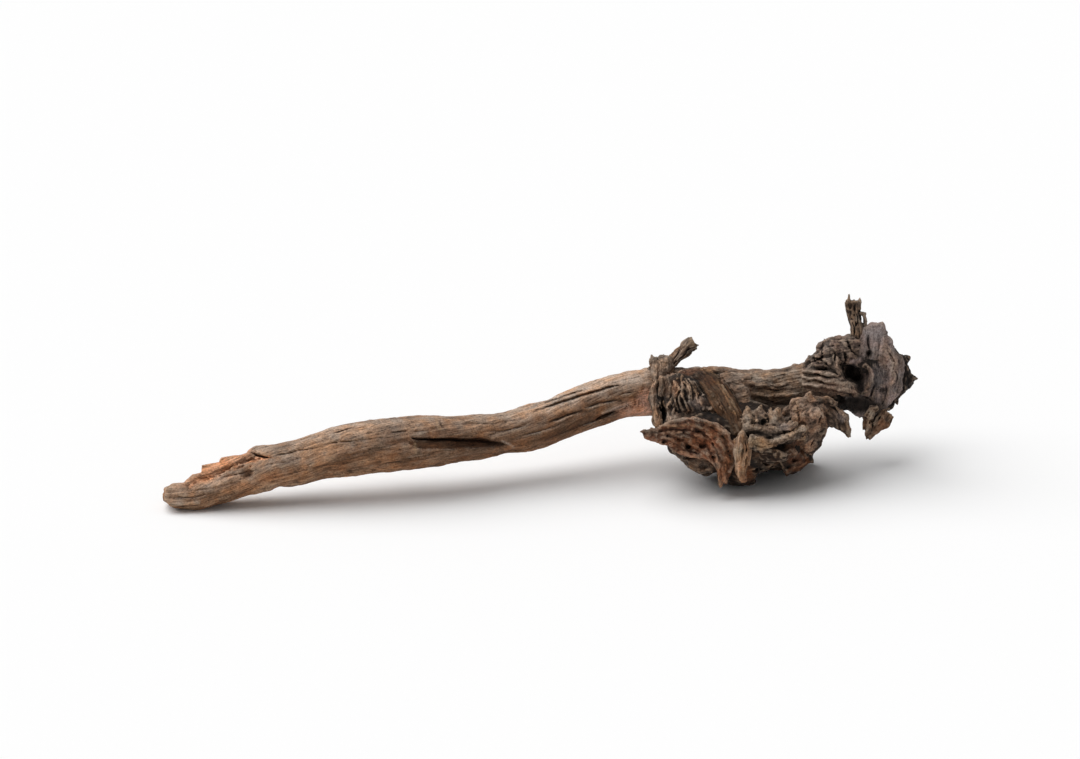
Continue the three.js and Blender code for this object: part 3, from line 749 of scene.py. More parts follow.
class WoodSizes(PropertyGroup):
    """Sizes of the carving"""
    arm_cube: step_of("Arm detail", "the arm's carving", 0.92, 0.5)
    burl_cube: step_of("Burl detail", "the burl's carving", 1.2, 0.5)
    bark_cube: step_of("Bark detail", "the burl's bark", 0.72)
    slab_cube: step_of("Slab detail", "the ear slab, crags and neck", 0.64)
    crown_cube: step_of("Crown detail", "the crown's carving", 0.69)
    stub_cube: step_of("Stub detail", "the short stubs", 0.42, 0.3)
    grain_depth: FloatProperty(
        name="Grain depth", description="Depth of the finest grain in the finish", default=0.0006, min=0, max=0.005,
        unit="LENGTH", precision=5)


class WoodTones(PropertyGroup):
    """Colours of the wood"""
    arm_light: colour_of("Arm, light", "Bare grey-brown wood of the arm", 166, 134, 107)
    arm_brown: colour_of("Arm, brown", "Browner streaks of the arm", 110, 78, 54)
    weathered: colour_of("Weathered top", "Silvery wood where it faces up", 188, 168, 152)
    worn_edge: colour_of("Worn edge", "Pale rubbed edges", 172, 152, 132)
    fresh_break: colour_of("Fresh break", "Orange wood on the broken end", 222, 170, 136)
    pink_patch: colour_of("Pink patch", "Pink-orange wood beside the burl", 236, 184, 160)
    # the groove's darker wood, deepened as painted shade below its lip
    groove: colour_of("Groove", "Dark wood in the long groove", 78, 54, 37)
    # painted shade: near-black colour laid into deep hollows, gaps, slits, cracks and the recesses under the neck
    # and crown
    hollow: colour_of("Hollow", "Nearly black wood deep in hollows and gaps", 26, 20, 15)
    bark_light: colour_of("Bark, light", "Brown bark of the burl", 104, 82, 64)
    # dark bark, also used as painted shade in cracks, under ridges, under the groove's lip and in the prong's slot
    bark_dark: colour_of("Bark, dark", "Darkest bark of the burl", 42, 31, 23)
    fan_olive: colour_of("Bark fan", "Smooth olive-brown bark", 94, 70, 48)
    fan_dark: colour_of("Bark fan, dark", "Dark lines in the smooth bark", 52, 37, 25)
    fan_rust: colour_of("Bark fan, rust", "Orange-brown streaks on the bark", 132, 88, 58)
    ear_red: colour_of("Ear slab, red", "Reddish torn wood of the ear slab", 132, 88, 63)
    ear_dark: colour_of("Ear slab, dark", "Darker red-brown of the ear slab", 64, 42, 30)
    wedge_tan: colour_of("Wedge", "Pale tan splinter", 166, 138, 108)
    crag_grey: colour_of("Crags", "Grey-brown torn crags", 122, 104, 90)
    # worn pale ridges, lightened further as a painted highlight on their tops
    ridge_pale: colour_of("Pale ridge", "Grey-white worn ridges", 180, 163, 146)
    knob_brown: colour_of("Porous knob", "Speckled porous wood", 172, 140, 118)
    lobe_brown: colour_of("Lobe", "Dark brown pointed lobe", 88, 74, 64)
    # dark wood under the burl; also laid as painted shade in the recess under the neck and on the bark core
    belly: colour_of("Belly", "Dark brown wood under the burl", 46, 31, 21)
    neck_light: colour_of("Neck, light", "Lighter ridges of the neck", 132, 110, 94)
    neck_dark: colour_of("Neck, dark", "Darker grain of the neck", 80, 62, 49)
    crown_grey: colour_of("Crown plate", "Grey smooth crown wood", 162, 150, 147)
    crown_lump: colour_of("Crown lumps", "Grey-brown craggy crown wood", 104, 90, 82)
    crown_dark: colour_of("Crown, dark", "Dark rotted crown wood", 44, 37, 32)
    prong_tan: colour_of("Prong", "Grey-tan split prong", 152, 135, 122)
    nub_brown: colour_of("Lower root", "Brown root stub", 110, 87, 70)


class StageLook(PropertyGroup):
    """Floor, light and camera"""
    floor_tone: colour_of("Floor", "Pale floor", 250, 250, 250)
    sky_strength: FloatProperty(
        name="Room light", description="Strength of the even light around", default=0.27, min=0)
    lamp_strength: FloatProperty(
        name="Soft lamp", description="Strength of the soft lamp overhead", default=2.9, min=0)
    lamp_size: FloatProperty(
        name="Lamp size", description="How wide the lamp looks from the wood, which softens shadows",
        default=math.radians(72), min=0, max=math.pi, subtype="ANGLE")
    lens: FloatProperty(name="Lens", description="Length of the camera's lens, in mm", default=120.0, min=20)


# Materials
def wood_finish(name, depth, streak=0.72, broad=0.5, speck=0.6, stretch=0.09, dull=0.86, warm=(1.18, 0.93, 0.72)):
    """Grain, specks, roughness and relief over the colours that a piece carries."""
    material = bpy.data.materials.new(name)
    material.use_nodes = True
    nodes, links = material.node_tree.nodes, material.node_tree.links
    nodes.clear()

    def node(kind, inputs, output=0, **settings):
        """Adds a node whose inputs are numbers, colours or other nodes' outputs, and gives its output."""
        made = nodes.new("ShaderNode" + kind)
        for key, value in settings.items():
            setattr(made, key, value)
        for key, value in inputs.items():
            if isinstance(value, bpy.types.NodeSocket):
                links.new(value, made.inputs[key])
            else:
                made.inputs[key].default_value = value
        return made.outputs[output] if made.outputs else None

    def maths(operation, *values):
        return node("Math", dict(enumerate(values)), operation=operation)

    def from_middle(value, amount, base):
        """How far a noise value lies from its middle, times an amount, on top of a base."""
        return maths("MULTIPLY_ADD", maths("SUBTRACT", value, 0.5), amount, base)

    def grained(scale, along, detail, roughness, offset=0.0):
        stretched = node("Mapping", {"Vector": grain, "Scale": (along, 1, 1), "Location": (offset, offset, 0)})
        return node("TexNoise", {"Vector": stretched, "Scale": scale, "Detail": detail, "Roughness": roughness})

    paint = node("Attribute", {}, "Color", attribute_name="paint")
    grain = node("Attribute", {}, "Vector", attribute_name="grain")
    place = node("TexCoord", {}, "Object")
    hair = grained(9.0, stretch, 5.0, 0.7)
    band = grained(9.0 / 3.2, stretch * 0.7, 4.0, 0.6, 3.1)
    split = grained(9.0 / 2.2, stretch * 0.4, 2.0, 0.5, 7.7)
    dots = node("TexNoise", {"Vector": place, "Scale": 640, "Detail": 4.0, "Roughness": 0.72})
    blotch = node("TexNoise", {"Vector": place, "Scale": 95, "Detail": 4.0})

    # a dark hairline where the split noise passes its middle, in some of the bands
    near_line = maths("ABSOLUTE", maths("SUBTRACT", split, 0.5))
    hairline = maths("MAXIMUM", maths("SUBTRACT", 1.0, maths("MULTIPLY", near_line, 28.0)), 0.0)
    gate = maths("MAXIMUM", maths("MULTIPLY", maths("SUBTRACT", band, 0.46), 6.0), 0.0)
    hairline = maths("MULTIPLY", hairline, maths("MINIMUM", gate, 1.0))

    light = from_middle(hair, streak * 4.0, 1.0)
    light = from_middle(band, broad * 3.0, light)
    light = from_middle(dots, speck * 4.0, light)
    light = maths("MULTIPLY_ADD", hairline, -0.5, light)
    light = maths("MINIMUM", maths("MAXIMUM", light, 0.18), 2.1)
    shade = node("VectorMath", {0: paint, "Scale": light}, operation="SCALE")
    warmed = node("VectorMath", {0: shade, 1: warm}, operation="MULTIPLY")
    share = node("MapRange", {"Value": blotch, "From Min": 0.4, "From Max": 0.68})
    colour = node("Mix", {"Factor": share, "A": shade, "B": warmed}, "Result", data_type="RGBA")

    height = maths("MULTIPLY_ADD", band, 0.9, hair)
    height = maths("MULTIPLY_ADD", dots, 0.35, height)
    height = maths("MULTIPLY_ADD", hairline, -0.9, height)
    shader = node("BsdfPrincipled", {
        "Base Color": colour, "Roughness": from_middle(hair, -0.5, dull), "Specular IOR Level": 0.28,
        "Normal": node("Bump", {"Distance": depth, "Height": height})})
    node("OutputMaterial", {"Surface": shader})
    return material


def set_out(name, data):
    """Puts a mesh, a lamp or a camera in the scene."""
    made = bpy.data.objects.new(name, data)
    bpy.context.collection.objects.link(made)
    return made


def place_piece(name, surface, node, material):
    """Makes the mesh in metres and says what it rides on, replaces and is made of."""
    data = bpy.data.meshes.new(name)
    points = (surface.points - WHOLE_MIDDLE) / 1000
    count = len(surface.quads)
    data.vertices.add(len(points))
    data.vertices.foreach_set("co", points.astype(np.float32).ravel())
    data.loops.add(4 * count)
    data.loops.foreach_set("vertex_index", surface.quads.astype(np.int32).ravel())
    data.polygons.add(count)
    data.polygons.foreach_set("loop_start", np.arange(0, 4 * count, 4, dtype=np.int32))
    data.polygons.foreach_set("use_smooth", np.ones(count, bool))
    data.update(calc_edges=True)
    data.validate()
    colours = np.ones((len(points), 4), np.float32)
    colours[:, :3] = np.clip(surface.colour, 0.0015, 0.9)
    straight = (surface.grain / CENTIMETRE).astype(np.float32)
    data.attributes.new("paint", "FLOAT_COLOR", "POINT").data.foreach_set("color", colours.ravel())
    data.attributes.new("grain", "FLOAT_VECTOR", "POINT").data.foreach_set("vector", straight.ravel())
    data.materials.append(material)
    piece = set_out(name, data)
    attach(piece, "root")
    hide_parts(node)
    print(f"{name}: {2 * count} triangles")


# Long arm
def build_long_arm(sizes, tones):
    wood = Wood((-305, -68, -1), (ARM_END + OVERLAP + 2, 70, 86), sizes.arm_cube)
    form, path = trunk()
    side = trunk_skin(wood, tones)
    fresh = wood.skin("fresh break", Grain(path), tones)
    dark = wood.skin("arm groove", Grain(path), tones)
    wood.add(form, skin=side)
    # the break went in steps: slivers of rising height that end short, one behind the other
    slivers = (
        [(-300.2, -2.6), (-299.8, -11.6), (-295, -16.4), (-272, -15), (-268, -2), (-284, 1.6), (-294, 0.2)],
        [(-284, 2.4), (-278, 8), (-269.4, 9.6), (-240, 13), (-236, 4), (-276, -6)],
        [(-270.5, 6), (-270, 16), (-256, 17.8), (-226, 22), (-222, 8)],
        [(-256, 14), (-255.5, 21.4), (-234, 25), (-216, 27), (-212, 12)],
        [(-237, 20), (-233, 27.2), (-227, 30.6), (-206, 32), (-196, 16)])
    for i, outline in enumerate(slivers):
        skin = side if i in (0, 4) else fresh
        wood.plate(outline, -60 + 2 * i, 19 - i, soft=0.6, skin=skin, lean_up=0.3, ragged=0.2, bevel=0.8, seed=i)
    for i in range(10):
        a = -286 + 5.6 * i
        u = -0.6 + 2.3 * i
        wood.crack([(a, u), (a + 10, u + 2), (a + 20 + 4 * (i % 3), u + 4)], 1.5, 1.2 + 0.6 * (i % 3), skin=fresh)
    for i in range(6):
        a = -278 + 8 * i
        b = -55 + 1.8 * (i % 3) + 2 * i
        wood.thorn((a + 9, 4.4 + 3 * i, b), (a - 1, 7.4 + 3.2 * i, b - 1), 2.4, 2.6, soft=0.6, skin=fresh)
    # the long groove on the near side: sharp below its lip, fading out downwards and to the left
    wood.tube(
        [(-112, 35, -54, 2, 3), (-96, 33, -51.4, 8, 5), (-76, 33.4, -46.6, 9, 9), (-52, 34, -36.5, 7.5, 10),
         (-29, 32.6, -26, 2, 4)], 3.5, dark, carve=True, fluting=0, lumps=0.3)
    wood.tube(
        [(-103, 37.4, -49, 1.2, 4), (-84, 36.4, -45, 2.6, 12), (-64, 36.2, -39.6, 3.4, 15),
         (-44, 35.4, -31, 3.4, 14), (-27.6, 32.4, -24, 1.2, 4)], 0.3, dark, carve=True, fluting=0, lumps=0.1)
    wood.tube([(0, 36, -21, 2, 3), (20, 43.4, -14.5, 7, 6), (42, 52, -7.5, 6, 6), (64, 59, -2, 2, 3)], 3, side,
              carve=True, fluting=0, lumps=0.2)
    wood.ball((-14, 31.5, -8), (11, 5, 11), soft=5, skin=side, seed=4)
    for i in range(13):
        a = -104 + 3.9 * i + 1.4 * math.sin(3 * i)
        wood.crack([(a, 27 + 0.4 * i), (a + 0.8 * math.sin(2 * i), 17 + 0.5 * i)], 0.8, 0.7)
    # the knot hollow
    wood.ball((-235, 9.2, wood.front_at(-235, 9.2) - 0.6), (5.4, 3.6, 2.8), soft=2.8, skin=side, carve=True)
    # fine wavering folds beside the collar
    for i in range(9):
        a = 67 + 2.5 * i + 0.5 * math.sin(2.4 * i)
        low, high = 57.5 - 0.2 * i, 66 + 2.2 * math.sin(1.7 * i) + 1.1 * i
        middle = (low + high) / 2
        wood.crack(
            [(a + 1.6, high), (a + 0.8 * math.sin(3 * i), middle + 3), (a - 0.9, middle - 3), (a - 0.6, low)],
            0.8, 0.9)
    wood.roughen()
    # the long cracks come after the roughening, so that their edges stay sharp
    for line, wide, deep in ARM_CRACKS:
        wood.crack(line, wide, deep if wide > 1.7 else 0.6 * deep, 0.3)
    wood.keep(high=ARM_END + OVERLAP)
    surface = wood.surface(tones, stands=True)
    paint_long_arm(surface, tones)
    place_piece("long_arm_wood", surface, "long_arm",
                wood_finish("weathered arm wood", sizes.grain_depth))


ARM_CRACKS = (
    ([(-231, 26), (-226, 23.2), (-215.6, 22.2)], 1.8, 3.6),
    ([(-215.6, 22.4), (-197, 26.5), (-173, 30.8)], 1.1, 2.2),
    ([(-178, 31.8), (-158, 34.4), (-140, 36.2), (-118, 39)], 1.0, 1.4),
    ([(-168, 41.4), (-158, 43.6), (-148, 46.2)], 1.2, 2.0), ([(-122, 41.6), (-108, 43), (-88, 43.2)], 1.0, 1.2),
    ([(-80, 52), (-79.2, 48), (-76, 44.6)], 1.2, 1.8), ([(-125, 17), (-118, 18), (-111, 18.6)], 1.2, 1.8),
    ([(-214, 6), (-196, 10), (-178, 14.6), (-160, 17)], 1.0, 1.2),
    ([(-224, 15), (-206, 18), (-186, 23.4)], 1.0, 1.2), ([(-262, 4), (-246, 8), (-226, 12)], 1.1, 1.4),
    ([(-286, -5), (-262, -2.4), (-240, 3)], 1.0, 1.2), ([(-296, -9.6), (-280, -10), (-262, -6)], 1.0, 1.2),
    ([(-150, 24), (-130, 27.6), (-112, 29)], 1.0, 1.2), ([(-146, 50), (-124, 53), (-100, 54)], 0.8, 1.0),
    ([(-60, 50), (-36, 49), (-12, 53)], 0.9, 1.1), ([(-84, 20), (-62, 23), (-40, 26)], 0.9, 1.2),
    ([(-4, 59.6), (22.7, 68.1), (49.5, 76.2), (63, 79.6)], 2.6, 2.6),
    ([(4, 66.2), (18, 70.6), (33.4, 75.6)], 2.0, 1.8), ([(8, 50.2), (21.4, 55.5), (33.5, 59.6)], 2.6, 2.4),
    ([(36, 62), (50, 66), (64, 68)], 2.0, 1.6), ([(4, 36.5), (36, 48.5), (62, 57.6)], 1.2, 1.6),
    ([(45, 52), (51, 55.4), (60, 59)], 2.6, 4.5), ([(62, 72), (70, 74), (78, 74.6)], 1.2, 2.0),
    ([(10, 78), (30, 85), (52, 91)], 0.8, 1.0), ([(-20, 38), (0, 43), (20, 50)], 1.0, 1.3),
    ([(-46, 43), (-26, 43.6), (-6, 49)], 0.9, 1.2))


def paint_long_arm(s, tones):
    # the arm's downward faces, right of the break: browner wood with painted shade
    low = step_up(0.62 - s.normal @ SIGHT_UP, 0.1, 0.9) * step_up(s.across, -150, -20)
    low = low * (1 - 0.8 * step_up(s.across, 50, 80))
    s.tint(0.6 * low, tones.arm_brown)
    for a, u, wide, tall, turn, share in (
            (-280, 2.6, 13, 3.2, 0.3, 0.45), (-262, 12.5, 12, 4.4, 0.22, 0.75), (-246, 19.5, 12, 4.4, 0.24, 0.8),
            (-234, 25.4, 5, 3.2, 0.5, 0.5), (-262, 5, 20, 3, 0.15, 0.25), (-225, 4, 30, 3.4, 0.25, 0.15)):
        s.tint(share * s.patch(a, u, wide, tall, turn), tones.fresh_break)
    for i in range(16):
        a = -283 + 3.3 * i
        s.tint(0.75 * s.line([(a, 1.6 + 1.35 * i), (a + 6 + 3 * (i % 3), 3.4 + 1.5 * i + i % 2)], 0.5, 0.6, seed=i),
               tones.arm_brown)
    paint_pink(s, tones)
    s.paint(
        tones,
        # painted shade: a dark line under the groove's lip, the grooves darkened inside over their darker wood, and
        # the knot hollow darkened
        (0.8, "bark_dark", 5, [(-98, 35), (-84, 34.8), (-56, 34.6), (-32, 32.4)], 1.2, 1.4),
        (0.8, "groove", 6, -56, 32.4, 28, 3.4), (0.4, "groove", 26, -72, 28, 34, 5, 0.05),
        (0.55, "groove", 7, [(4, 37), (20, 43), (40, 51), (62, 58)], 3.0, 2.5),
        (0.6, "groove", 8, -234.5, 9.6, 4.6, 4.0), (0.2, "neck_dark", 9, 24, 54, 30, 7, 0.3),
        (0.35, "weathered", 10, -150, 44, 60, 5, 0.12))
    # weathered wood and a painted highlight on the faces that turn up, on the arm's right part
    weathered_and_lit_top = step_up(s.normal @ SIGHT_UP, 0.1, 0.8) * step_up(s.across, -40, 20) * (1 - step_up(s.across, 70, 100))
    s.tint(0.8 * weathered_and_lit_top, tones.weathered)
    s.paint(
        tones,
        (0.4, "neck_dark", 11, -118, 36, 30, 3.2, 0.1), (0.35, "arm_brown", 14, -122, 29, 28, 6, 0.12),
        (0.6, "wedge_tan", 12, [(-100, 33), (-99.4, 26)], 0.9),
        (0.6, "weathered", 15, [(-30, 35), (-25, 33), (-21, 30)], 0.8),
        (0.55, "wedge_tan", 17, [(-83, 53), (-82, 48), (-79.4, 44.6)], 0.8),
        (0.5, "weathered", 13, [(50, 58), (58, 60.6), (70, 63)], 1.2))
    # painted shade along the long cracks
    for line, wide, _ in ARM_CRACKS:
        s.tint((0.8 if wide > 1.7 else 0.55) * s.line(line, 0.3 * wide, 0.6, seed=16), tones.bark_dark)


# Neck
def build_neck(sizes, tones):
    wood = Wood((NECK_START - OVERLAP - 3, 26, 40), (NECK_END + OVERLAP + 3, 76, 96), sizes.slab_cube)
    form, _ = trunk()
    side = trunk_skin(wood, tones)
    wood.add(form, skin=side)
    carve_neck(wood, side)
    wood.roughen()
    wood.keep(low=NECK_START - OVERLAP, high=NECK_END + OVERLAP)
    surface = wood.surface(tones)
    paint_neck(surface, tones)
    place_piece("neck_wood", surface, "neck",
                wood_finish("fluted neck wood", sizes.grain_depth, streak=0.8, broad=0.6))


def carve_neck(wood, skin):
    """Tendons and fine furrows that sweep along the neck, shared by the pieces that it crosses."""
    tendons = (
        [(158, 78, 10, 1.6, 3), (172, 73, 9, 3, 4), (188, 71.4, 8, 3.4, 5), (206, 72, 10, 2, 3)],
        [(206, 80, 12, 2, 3), (222, 81, 11, 3.4, 5), (238, 77, 12, 2.4, 4)],
        [(208, 88, 14, 2, 3), (224, 86.4, 13, 3, 4), (240, 84, 13, 2, 3)],
        [(150, 86, 9, 1.6, 3), (168, 80.6, 8, 2.6, 4), (186, 79.4, 8, 2.2, 4), (206, 83, 11, 1.6, 3)],
    )
    for i, stations in enumerate(tendons):
        wood.tube(stations, 2.0, skin, seed=1 + 2 * i)
    for i in range(25):
        line = neck_line((i + 0.5) / 18, i)[2 if i % 3 else 0:]
        wood.crack(line, 1.3 + 0.5 * math.sin(1.7 * i), 1.4 + 0.8 * math.cos(2.3 * i), spacing=3.0)


def neck_line(share, i):
    """One line of the neck's flow: down from the fan's right edge, then away to the crown."""
    sway = 0.5 * math.sin(2.1 * i)
    return [(139 + 17 * share, 91 - 14 * share), (152 + 10 * share, 90 - 17 * share + sway),
            (170, 89.6 - 17 * share), (190, 88 - 20 * share - sway), (208, 92 - 22 * share), (230, 99 - 29 * share)]


def paint_neck(s, tones):
    # pale worn ridges with a painted highlight along the neck's flow, and painted shade just below each
    for i in range(17):
        line = neck_line((i + 0.25) / 12, 2 * i)[1 if i % 2 else 0:]
        s.tint((0.65 - 0.3 * (i % 2)) * s.line(line, 0.6, 0.8, seed=i), tones.ridge_pale)
        s.tint(0.5 * s.line([(x, y - 1.2) for x, y in line], 0.5, 0.7, seed=20 + i), tones.bark_dark)
    s.paint(
        tones,
        # a painted highlight on the tendons, and painted shade in the recess under the neck and where it meets the
        # crown
        (0.6, "ridge_pale", 30, [(170, 73.6), (188, 71.6), (204, 71.6)], 0.9, 0.8),
        (0.65, "belly", 6, 186, 62, 26, 4.6, 0.02), (0.4, "hollow", 8, 176, 59, 20, 3.6, 0.02),
        (0.6, "hollow", 7, 216, 66, 14, 6))


# Burl
SHOULDER = [(132, 90, 8, 8, 10), (146, 85, 0, 14, 14), (156, 74, -7, 16, 16), (162, 63, -10, 12, 14),
            (165, 52, -14, 7, 10)]


def sight_box(*limits):
    """Lowest and highest corner of what lies between two across, up and back values."""
    corners = np.array([at(*corner) for corner in product(*limits)])
    return corners.min(0) - 2, corners.max(0) + 2


def build_burl(sizes, tones):
    wood = Wood((ARM_END - OVERLAP - 3, -42, -1), (240, 76, 106), sizes.burl_cube)
    form, _ = trunk()
    stem = trunk_skin(wood, tones)
    low_grain = Grain(grain_path(([100, 130, 160, 190, 225], [34, 18, 12, 20, 44], [-20, -30, -28, -18, 0]), 60))
    belly = wood.skin("belly", low_grain, tones)
    lumps = wood.skin("belly lumps", low_grain, tones)
    wood.add(form, skin=stem)
    wood.keep(low=ARM_END - 4, high=226)
    wood.balls(
        ((141, 60, 30), (44, 17, 17), 8, stem, 0.08, 30, 3), ((153, 35, -6), (47, 33, 35), 5, belly, 0.09, 46, 5),
        ((118, 66, 7), (22, 23, 25), 4, belly, 0.05, 40, 2),
        ((138, 62, 5), (19, 17, 19), 4, belly, 0.05, 40, 6, -0.6))
    wood.tube(SHOULDER, 8, stem, fluting=0.02, lumps=0.15, seed=5, grow=-0.6)
    wood.balls(
        ((188, 34, 4), (31, 27, 32), 4, belly, 0.08, 28, 7), ((161, 13.5, 0), (26, 14, 26), 4, belly, 0.12, 24, 9),
        ((190, 26, 38), (22, 17, 21), 4, belly, 0.12, 24, 10), ((196, 54, 12), (20, 10, 14), 4, belly, 0.1, 24, 12))
    wood.tube([(100, 70, 40, 8, 7), (128, 56, 46, 14, 12), (160, 44, 46, 14, 12), (186, 34, 48, 7, 7)], 6, stem,
              fluting=0.14, lumps=1.0, seed=6)
    thorns = (((194, 20, 16), (198.5, 8.8, 20), 16, 16), ((210, 30, 38), (218, 18.7, 40), 16, 14),
              ((166, 14, -8), (169, 1.0, -3), 14, 14), ((141, 14, -34), (145.5, -1.6, -24), 11, 10),
              ((204, 26, -2), (205, 10, 8), 12, 12))
    for start, end, wide, deep in thorns:
        wood.thorn(start, end, wide, deep, skin=belly)
    shape_belly(wood, belly, lumps)
    knob = wood.skin("collar knob", low_grain, tones)
    wood.ball((98, 95, 20), (8.6, 8, 11), soft=2, skin=knob, bumps=0.3, wavelength=9, seed=5)
    for line in ([(92, 101), (94, 95), (93, 88)], [(96.6, 102), (98, 96), (96.6, 89)],
                 [(101, 102), (102, 95), (101, 88)], [(105, 99), (104, 93)]):
        wood.ridge(line, 2.4, 2.4, 0.8, knob)
        wood.crack([(a + 2.2, u) for a, u in line], 1.6, 3, 0.6)
    wood.thorns(
        (((90.6, 98, 16), (89.4, 104.8, 17), 6), ((95, 99, 18), (94.6, 103.4, 19), 6),
         ((100, 100, 20), (101, 104.6, 20), 6.5), ((104, 98, 20), (105.6, 102.2, 21), 6)), 1.5, knob)
    carve_neck(wood, stem)
    wood.roughen()
    wood.keep(low=ARM_END - OVERLAP)
    wood.keep(high=NECK_START + 62)
    surface = wood.surface(tones, stands=True)
    paint_burl(surface, tones)
    place_piece("burl_wood", surface, "burl",
                wood_finish("burl wood", sizes.grain_depth, streak=0.75, broad=0.55, dull=0.82))


def shape_belly(wood, belly, lumps):
    """The burl's underside: torn lumps below the ear, hollows, and a brown plate at the right end."""
    ear = [(106, 28), (112, 22.4), (117.6, 17), (122, 12.4), (128.4, 9.6), (134.6, 10.8), (139.6, 12.6), (142, 18),
           (134, 23), (120, 27)]
    wood.plate(ear, -38, 14, soft=2, skin=lumps, lean_across=0.1, ragged=0.9, bevel=2, seed=7)
    for outline in (
            [(80, 36), (98, 33.4), (104, 27.4), (110, 23), (116, 17.8), (121, 12.6), (128.4, 8.6), (135, 9.8),
             (141, 12), (143, 8), (144.4, -12), (80, -12)],
            [(170.4, 5), (172, 8.6), (178, 11.4), (185, 12.8), (194, 13), (196.6, 9), (197.4, -12), (170.4, -12)]):
        wood.plate(outline, -70, 92, soft=1.5, skin=belly, ragged=0.7, bevel=2, seed=9, carve=True)
    plate = [(190, 21), (194, 13), (197, 9.4), (199.4, 8), (203, 12.2), (207, 14.6), (211, 16.6), (214, 17.6),
             (218.4, 18.4), (216.4, 22), (216.8, 25.4), (213, 31), (205, 33), (196, 30)]
    wood.plate(plate, -19, 13, soft=1.5, skin=belly, lean_across=0.5, ragged=0.8, bevel=1.5, seed=4)
    wood.ball((200, 27, -34), (8, 7.5, 10), soft=1.5, skin=belly, carve=True, turn=0.3, bumps=0.15, wavelength=11)
    for i, (a, u, wide, tall) in enumerate(
            ((183, 19, 5, 2.6), (204, 19, 3, 2.4), (174, 11, 3, 2), (210, 27, 2.4, 2), (118, 22, 4, 2),
             (131, 15, 4, 2))):
        back = wood.front_at(a, u)
        wood.ball((a, u, back + 0.6), (wide, tall, 3), soft=1.4, skin=belly, bumps=0.25, wavelength=6, seed=i,
                  carve=True)
    for line in ([(170, 24), (180, 21), (190, 15), (196, 11)], [(172, 16), (180, 14.4), (188, 14)],
                 [(176, 28), (188, 24), (194, 19)], [(192, 17), (200, 16), (208, 20), (212, 26)],
                 [(208.6, 33), (210, 26), (214, 19)]):
        wood.ridge(line, 2.6, 1.4, 1.6, belly, 0.4)
        wood.crack([(a + 1, u - 2.4) for a, u in line], 1.4, 2.4, 0.8)


def paint_pink(s, tones):
    """Pink wood and fine pale folds where arm and burl meet."""
    s.paint(tones, (0.75, "pink_patch", 3, 84, 65, 7, 11, -0.2), (0.4, "pink_patch", 4, 71, 61, 12, 6, 0.3),
            (0.35, "weathered", 24, 76, 83, 12, 8, 0.3))
    for i in range(7):
        a, u = 74 + 2.4 * i, 58 + 1.2 * i + 2 * math.sin(2 * i)
        s.tint(0.45 * s.line([(a, u), (a + 4, u + 4), (a + 5, u + 9)], 0.4, 0.6, seed=60 + i), tones.ear_red)


def paint_burl(s, tones):
    paint_pink(s, tones)
    s.paint(
        tones,
        (0.3, "weathered", 5, 122, 92, 12, 2.4), (0.6, "weathered", 19, 97, 94, 8, 7),
        (0.5, "fan_rust", 12, 164, 8, 7, 6), (0.35, "bark_light", 10, 180, 20, 14, 5, -0.4),
        (0.6, "fan_rust", 11, [(209, 33), (210, 26), (214, 18)], 1.2, 1.2),
        (0.5, "fan_rust", 11, [(197, 9), (203, 12.6), (213, 17)], 1.2, 1.2),
        # the near-black patch at across 199 is painted shade in the carved pocket beside the plate
        (0.45, "crag_grey", 13, 125, 16, 13, 5, -0.4), (0.75, "hollow", 14, 199, 29, 8, 6, 0.3),
        (0.35, "ear_red", 15, 204, 21, 6, 5))
    paint_neck(s, tones)


# Bark of the burl
FOLDS = (
    [(113.9, 88.4), (112.9, 83.3), (113.9, 77.2), (112.2, 70.1), (113.4, 64.5), (114.7, 57.3)],
    [(115, 83.3), (117.5, 77.2), (119.3, 71.1), (120.6, 65)],
    [(116.2, 85.4), (119.6, 78.2), (120.6, 73.1), (122.6, 67), (124.7, 60.9)],
    [(118.5, 85.4), (122.1, 80.3), (124.7, 73.7), (125.7, 67)],
    [(122.6, 82.8), (126.7, 77.7), (130, 72.1), (132.3, 67)],
    [(109.3, 80.3), (111.6, 77.2), (107.8, 71.1), (109.9, 65), (111.1, 59.9)],
    [(107.3, 75.7), (104.8, 68.6), (103, 64), (103, 57.3), (104.2, 53.2)],
    [(107.3, 83.3), (108.3, 79.3), (105.8, 72.6)], [(116.5, 67), (117.5, 61.9), (118.5, 58.9)],
    [(120.3, 64), (121.3, 59.4)], [(108.8, 62.4), (107.3, 58.3), (108.8, 53.8)],
    [(112.4, 78.2), (114.4, 72.1), (116.5, 67)], [(124.6, 64), (127, 60), (131, 57.4)],
    [(128, 66), (130, 62.4), (133.6, 60)])
GAPS = (
    [(112.4, 87.4), (111.6, 82.3), (112.4, 75.2), (110.4, 69.1), (111.6, 62.9), (112.4, 56.8)],
    [(115.2, 85.4), (116, 79.3), (116, 72.1), (118, 67), (119.3, 61.9)],
    [(117.8, 84.4), (120.8, 77.2), (122.1, 71.1), (123.6, 65)],
    [(120.6, 83.3), (123.6, 77.2), (126.2, 71.1), (127.7, 66)],
    [(109.3, 74.2), (106.8, 67), (105.8, 61.9), (106.3, 55.8)], [(105.8, 76.2), (104, 70.1), (102.2, 67)],
    [(114.4, 70.1), (115, 64), (116.5, 58.9)], [(125.6, 80), (129, 75), (132, 69)])
CHIPS = ((129.8, 71.8), (136.4, 61.9), (134.3, 62.4), (129.8, 60.4), (137.6, 57.6), (132, 58.4))
FAN_LEFT = ((116, 89), (124.4, 83.8), (130.4, 76.4), (134.2, 67.4), (139.4, 57.6), (151, 43))
FAN_RIGHT = ((136, 91.6), (145, 85.4), (152.4, 76.4), (158, 66.4), (161.6, 56.4), (163.4, 45))


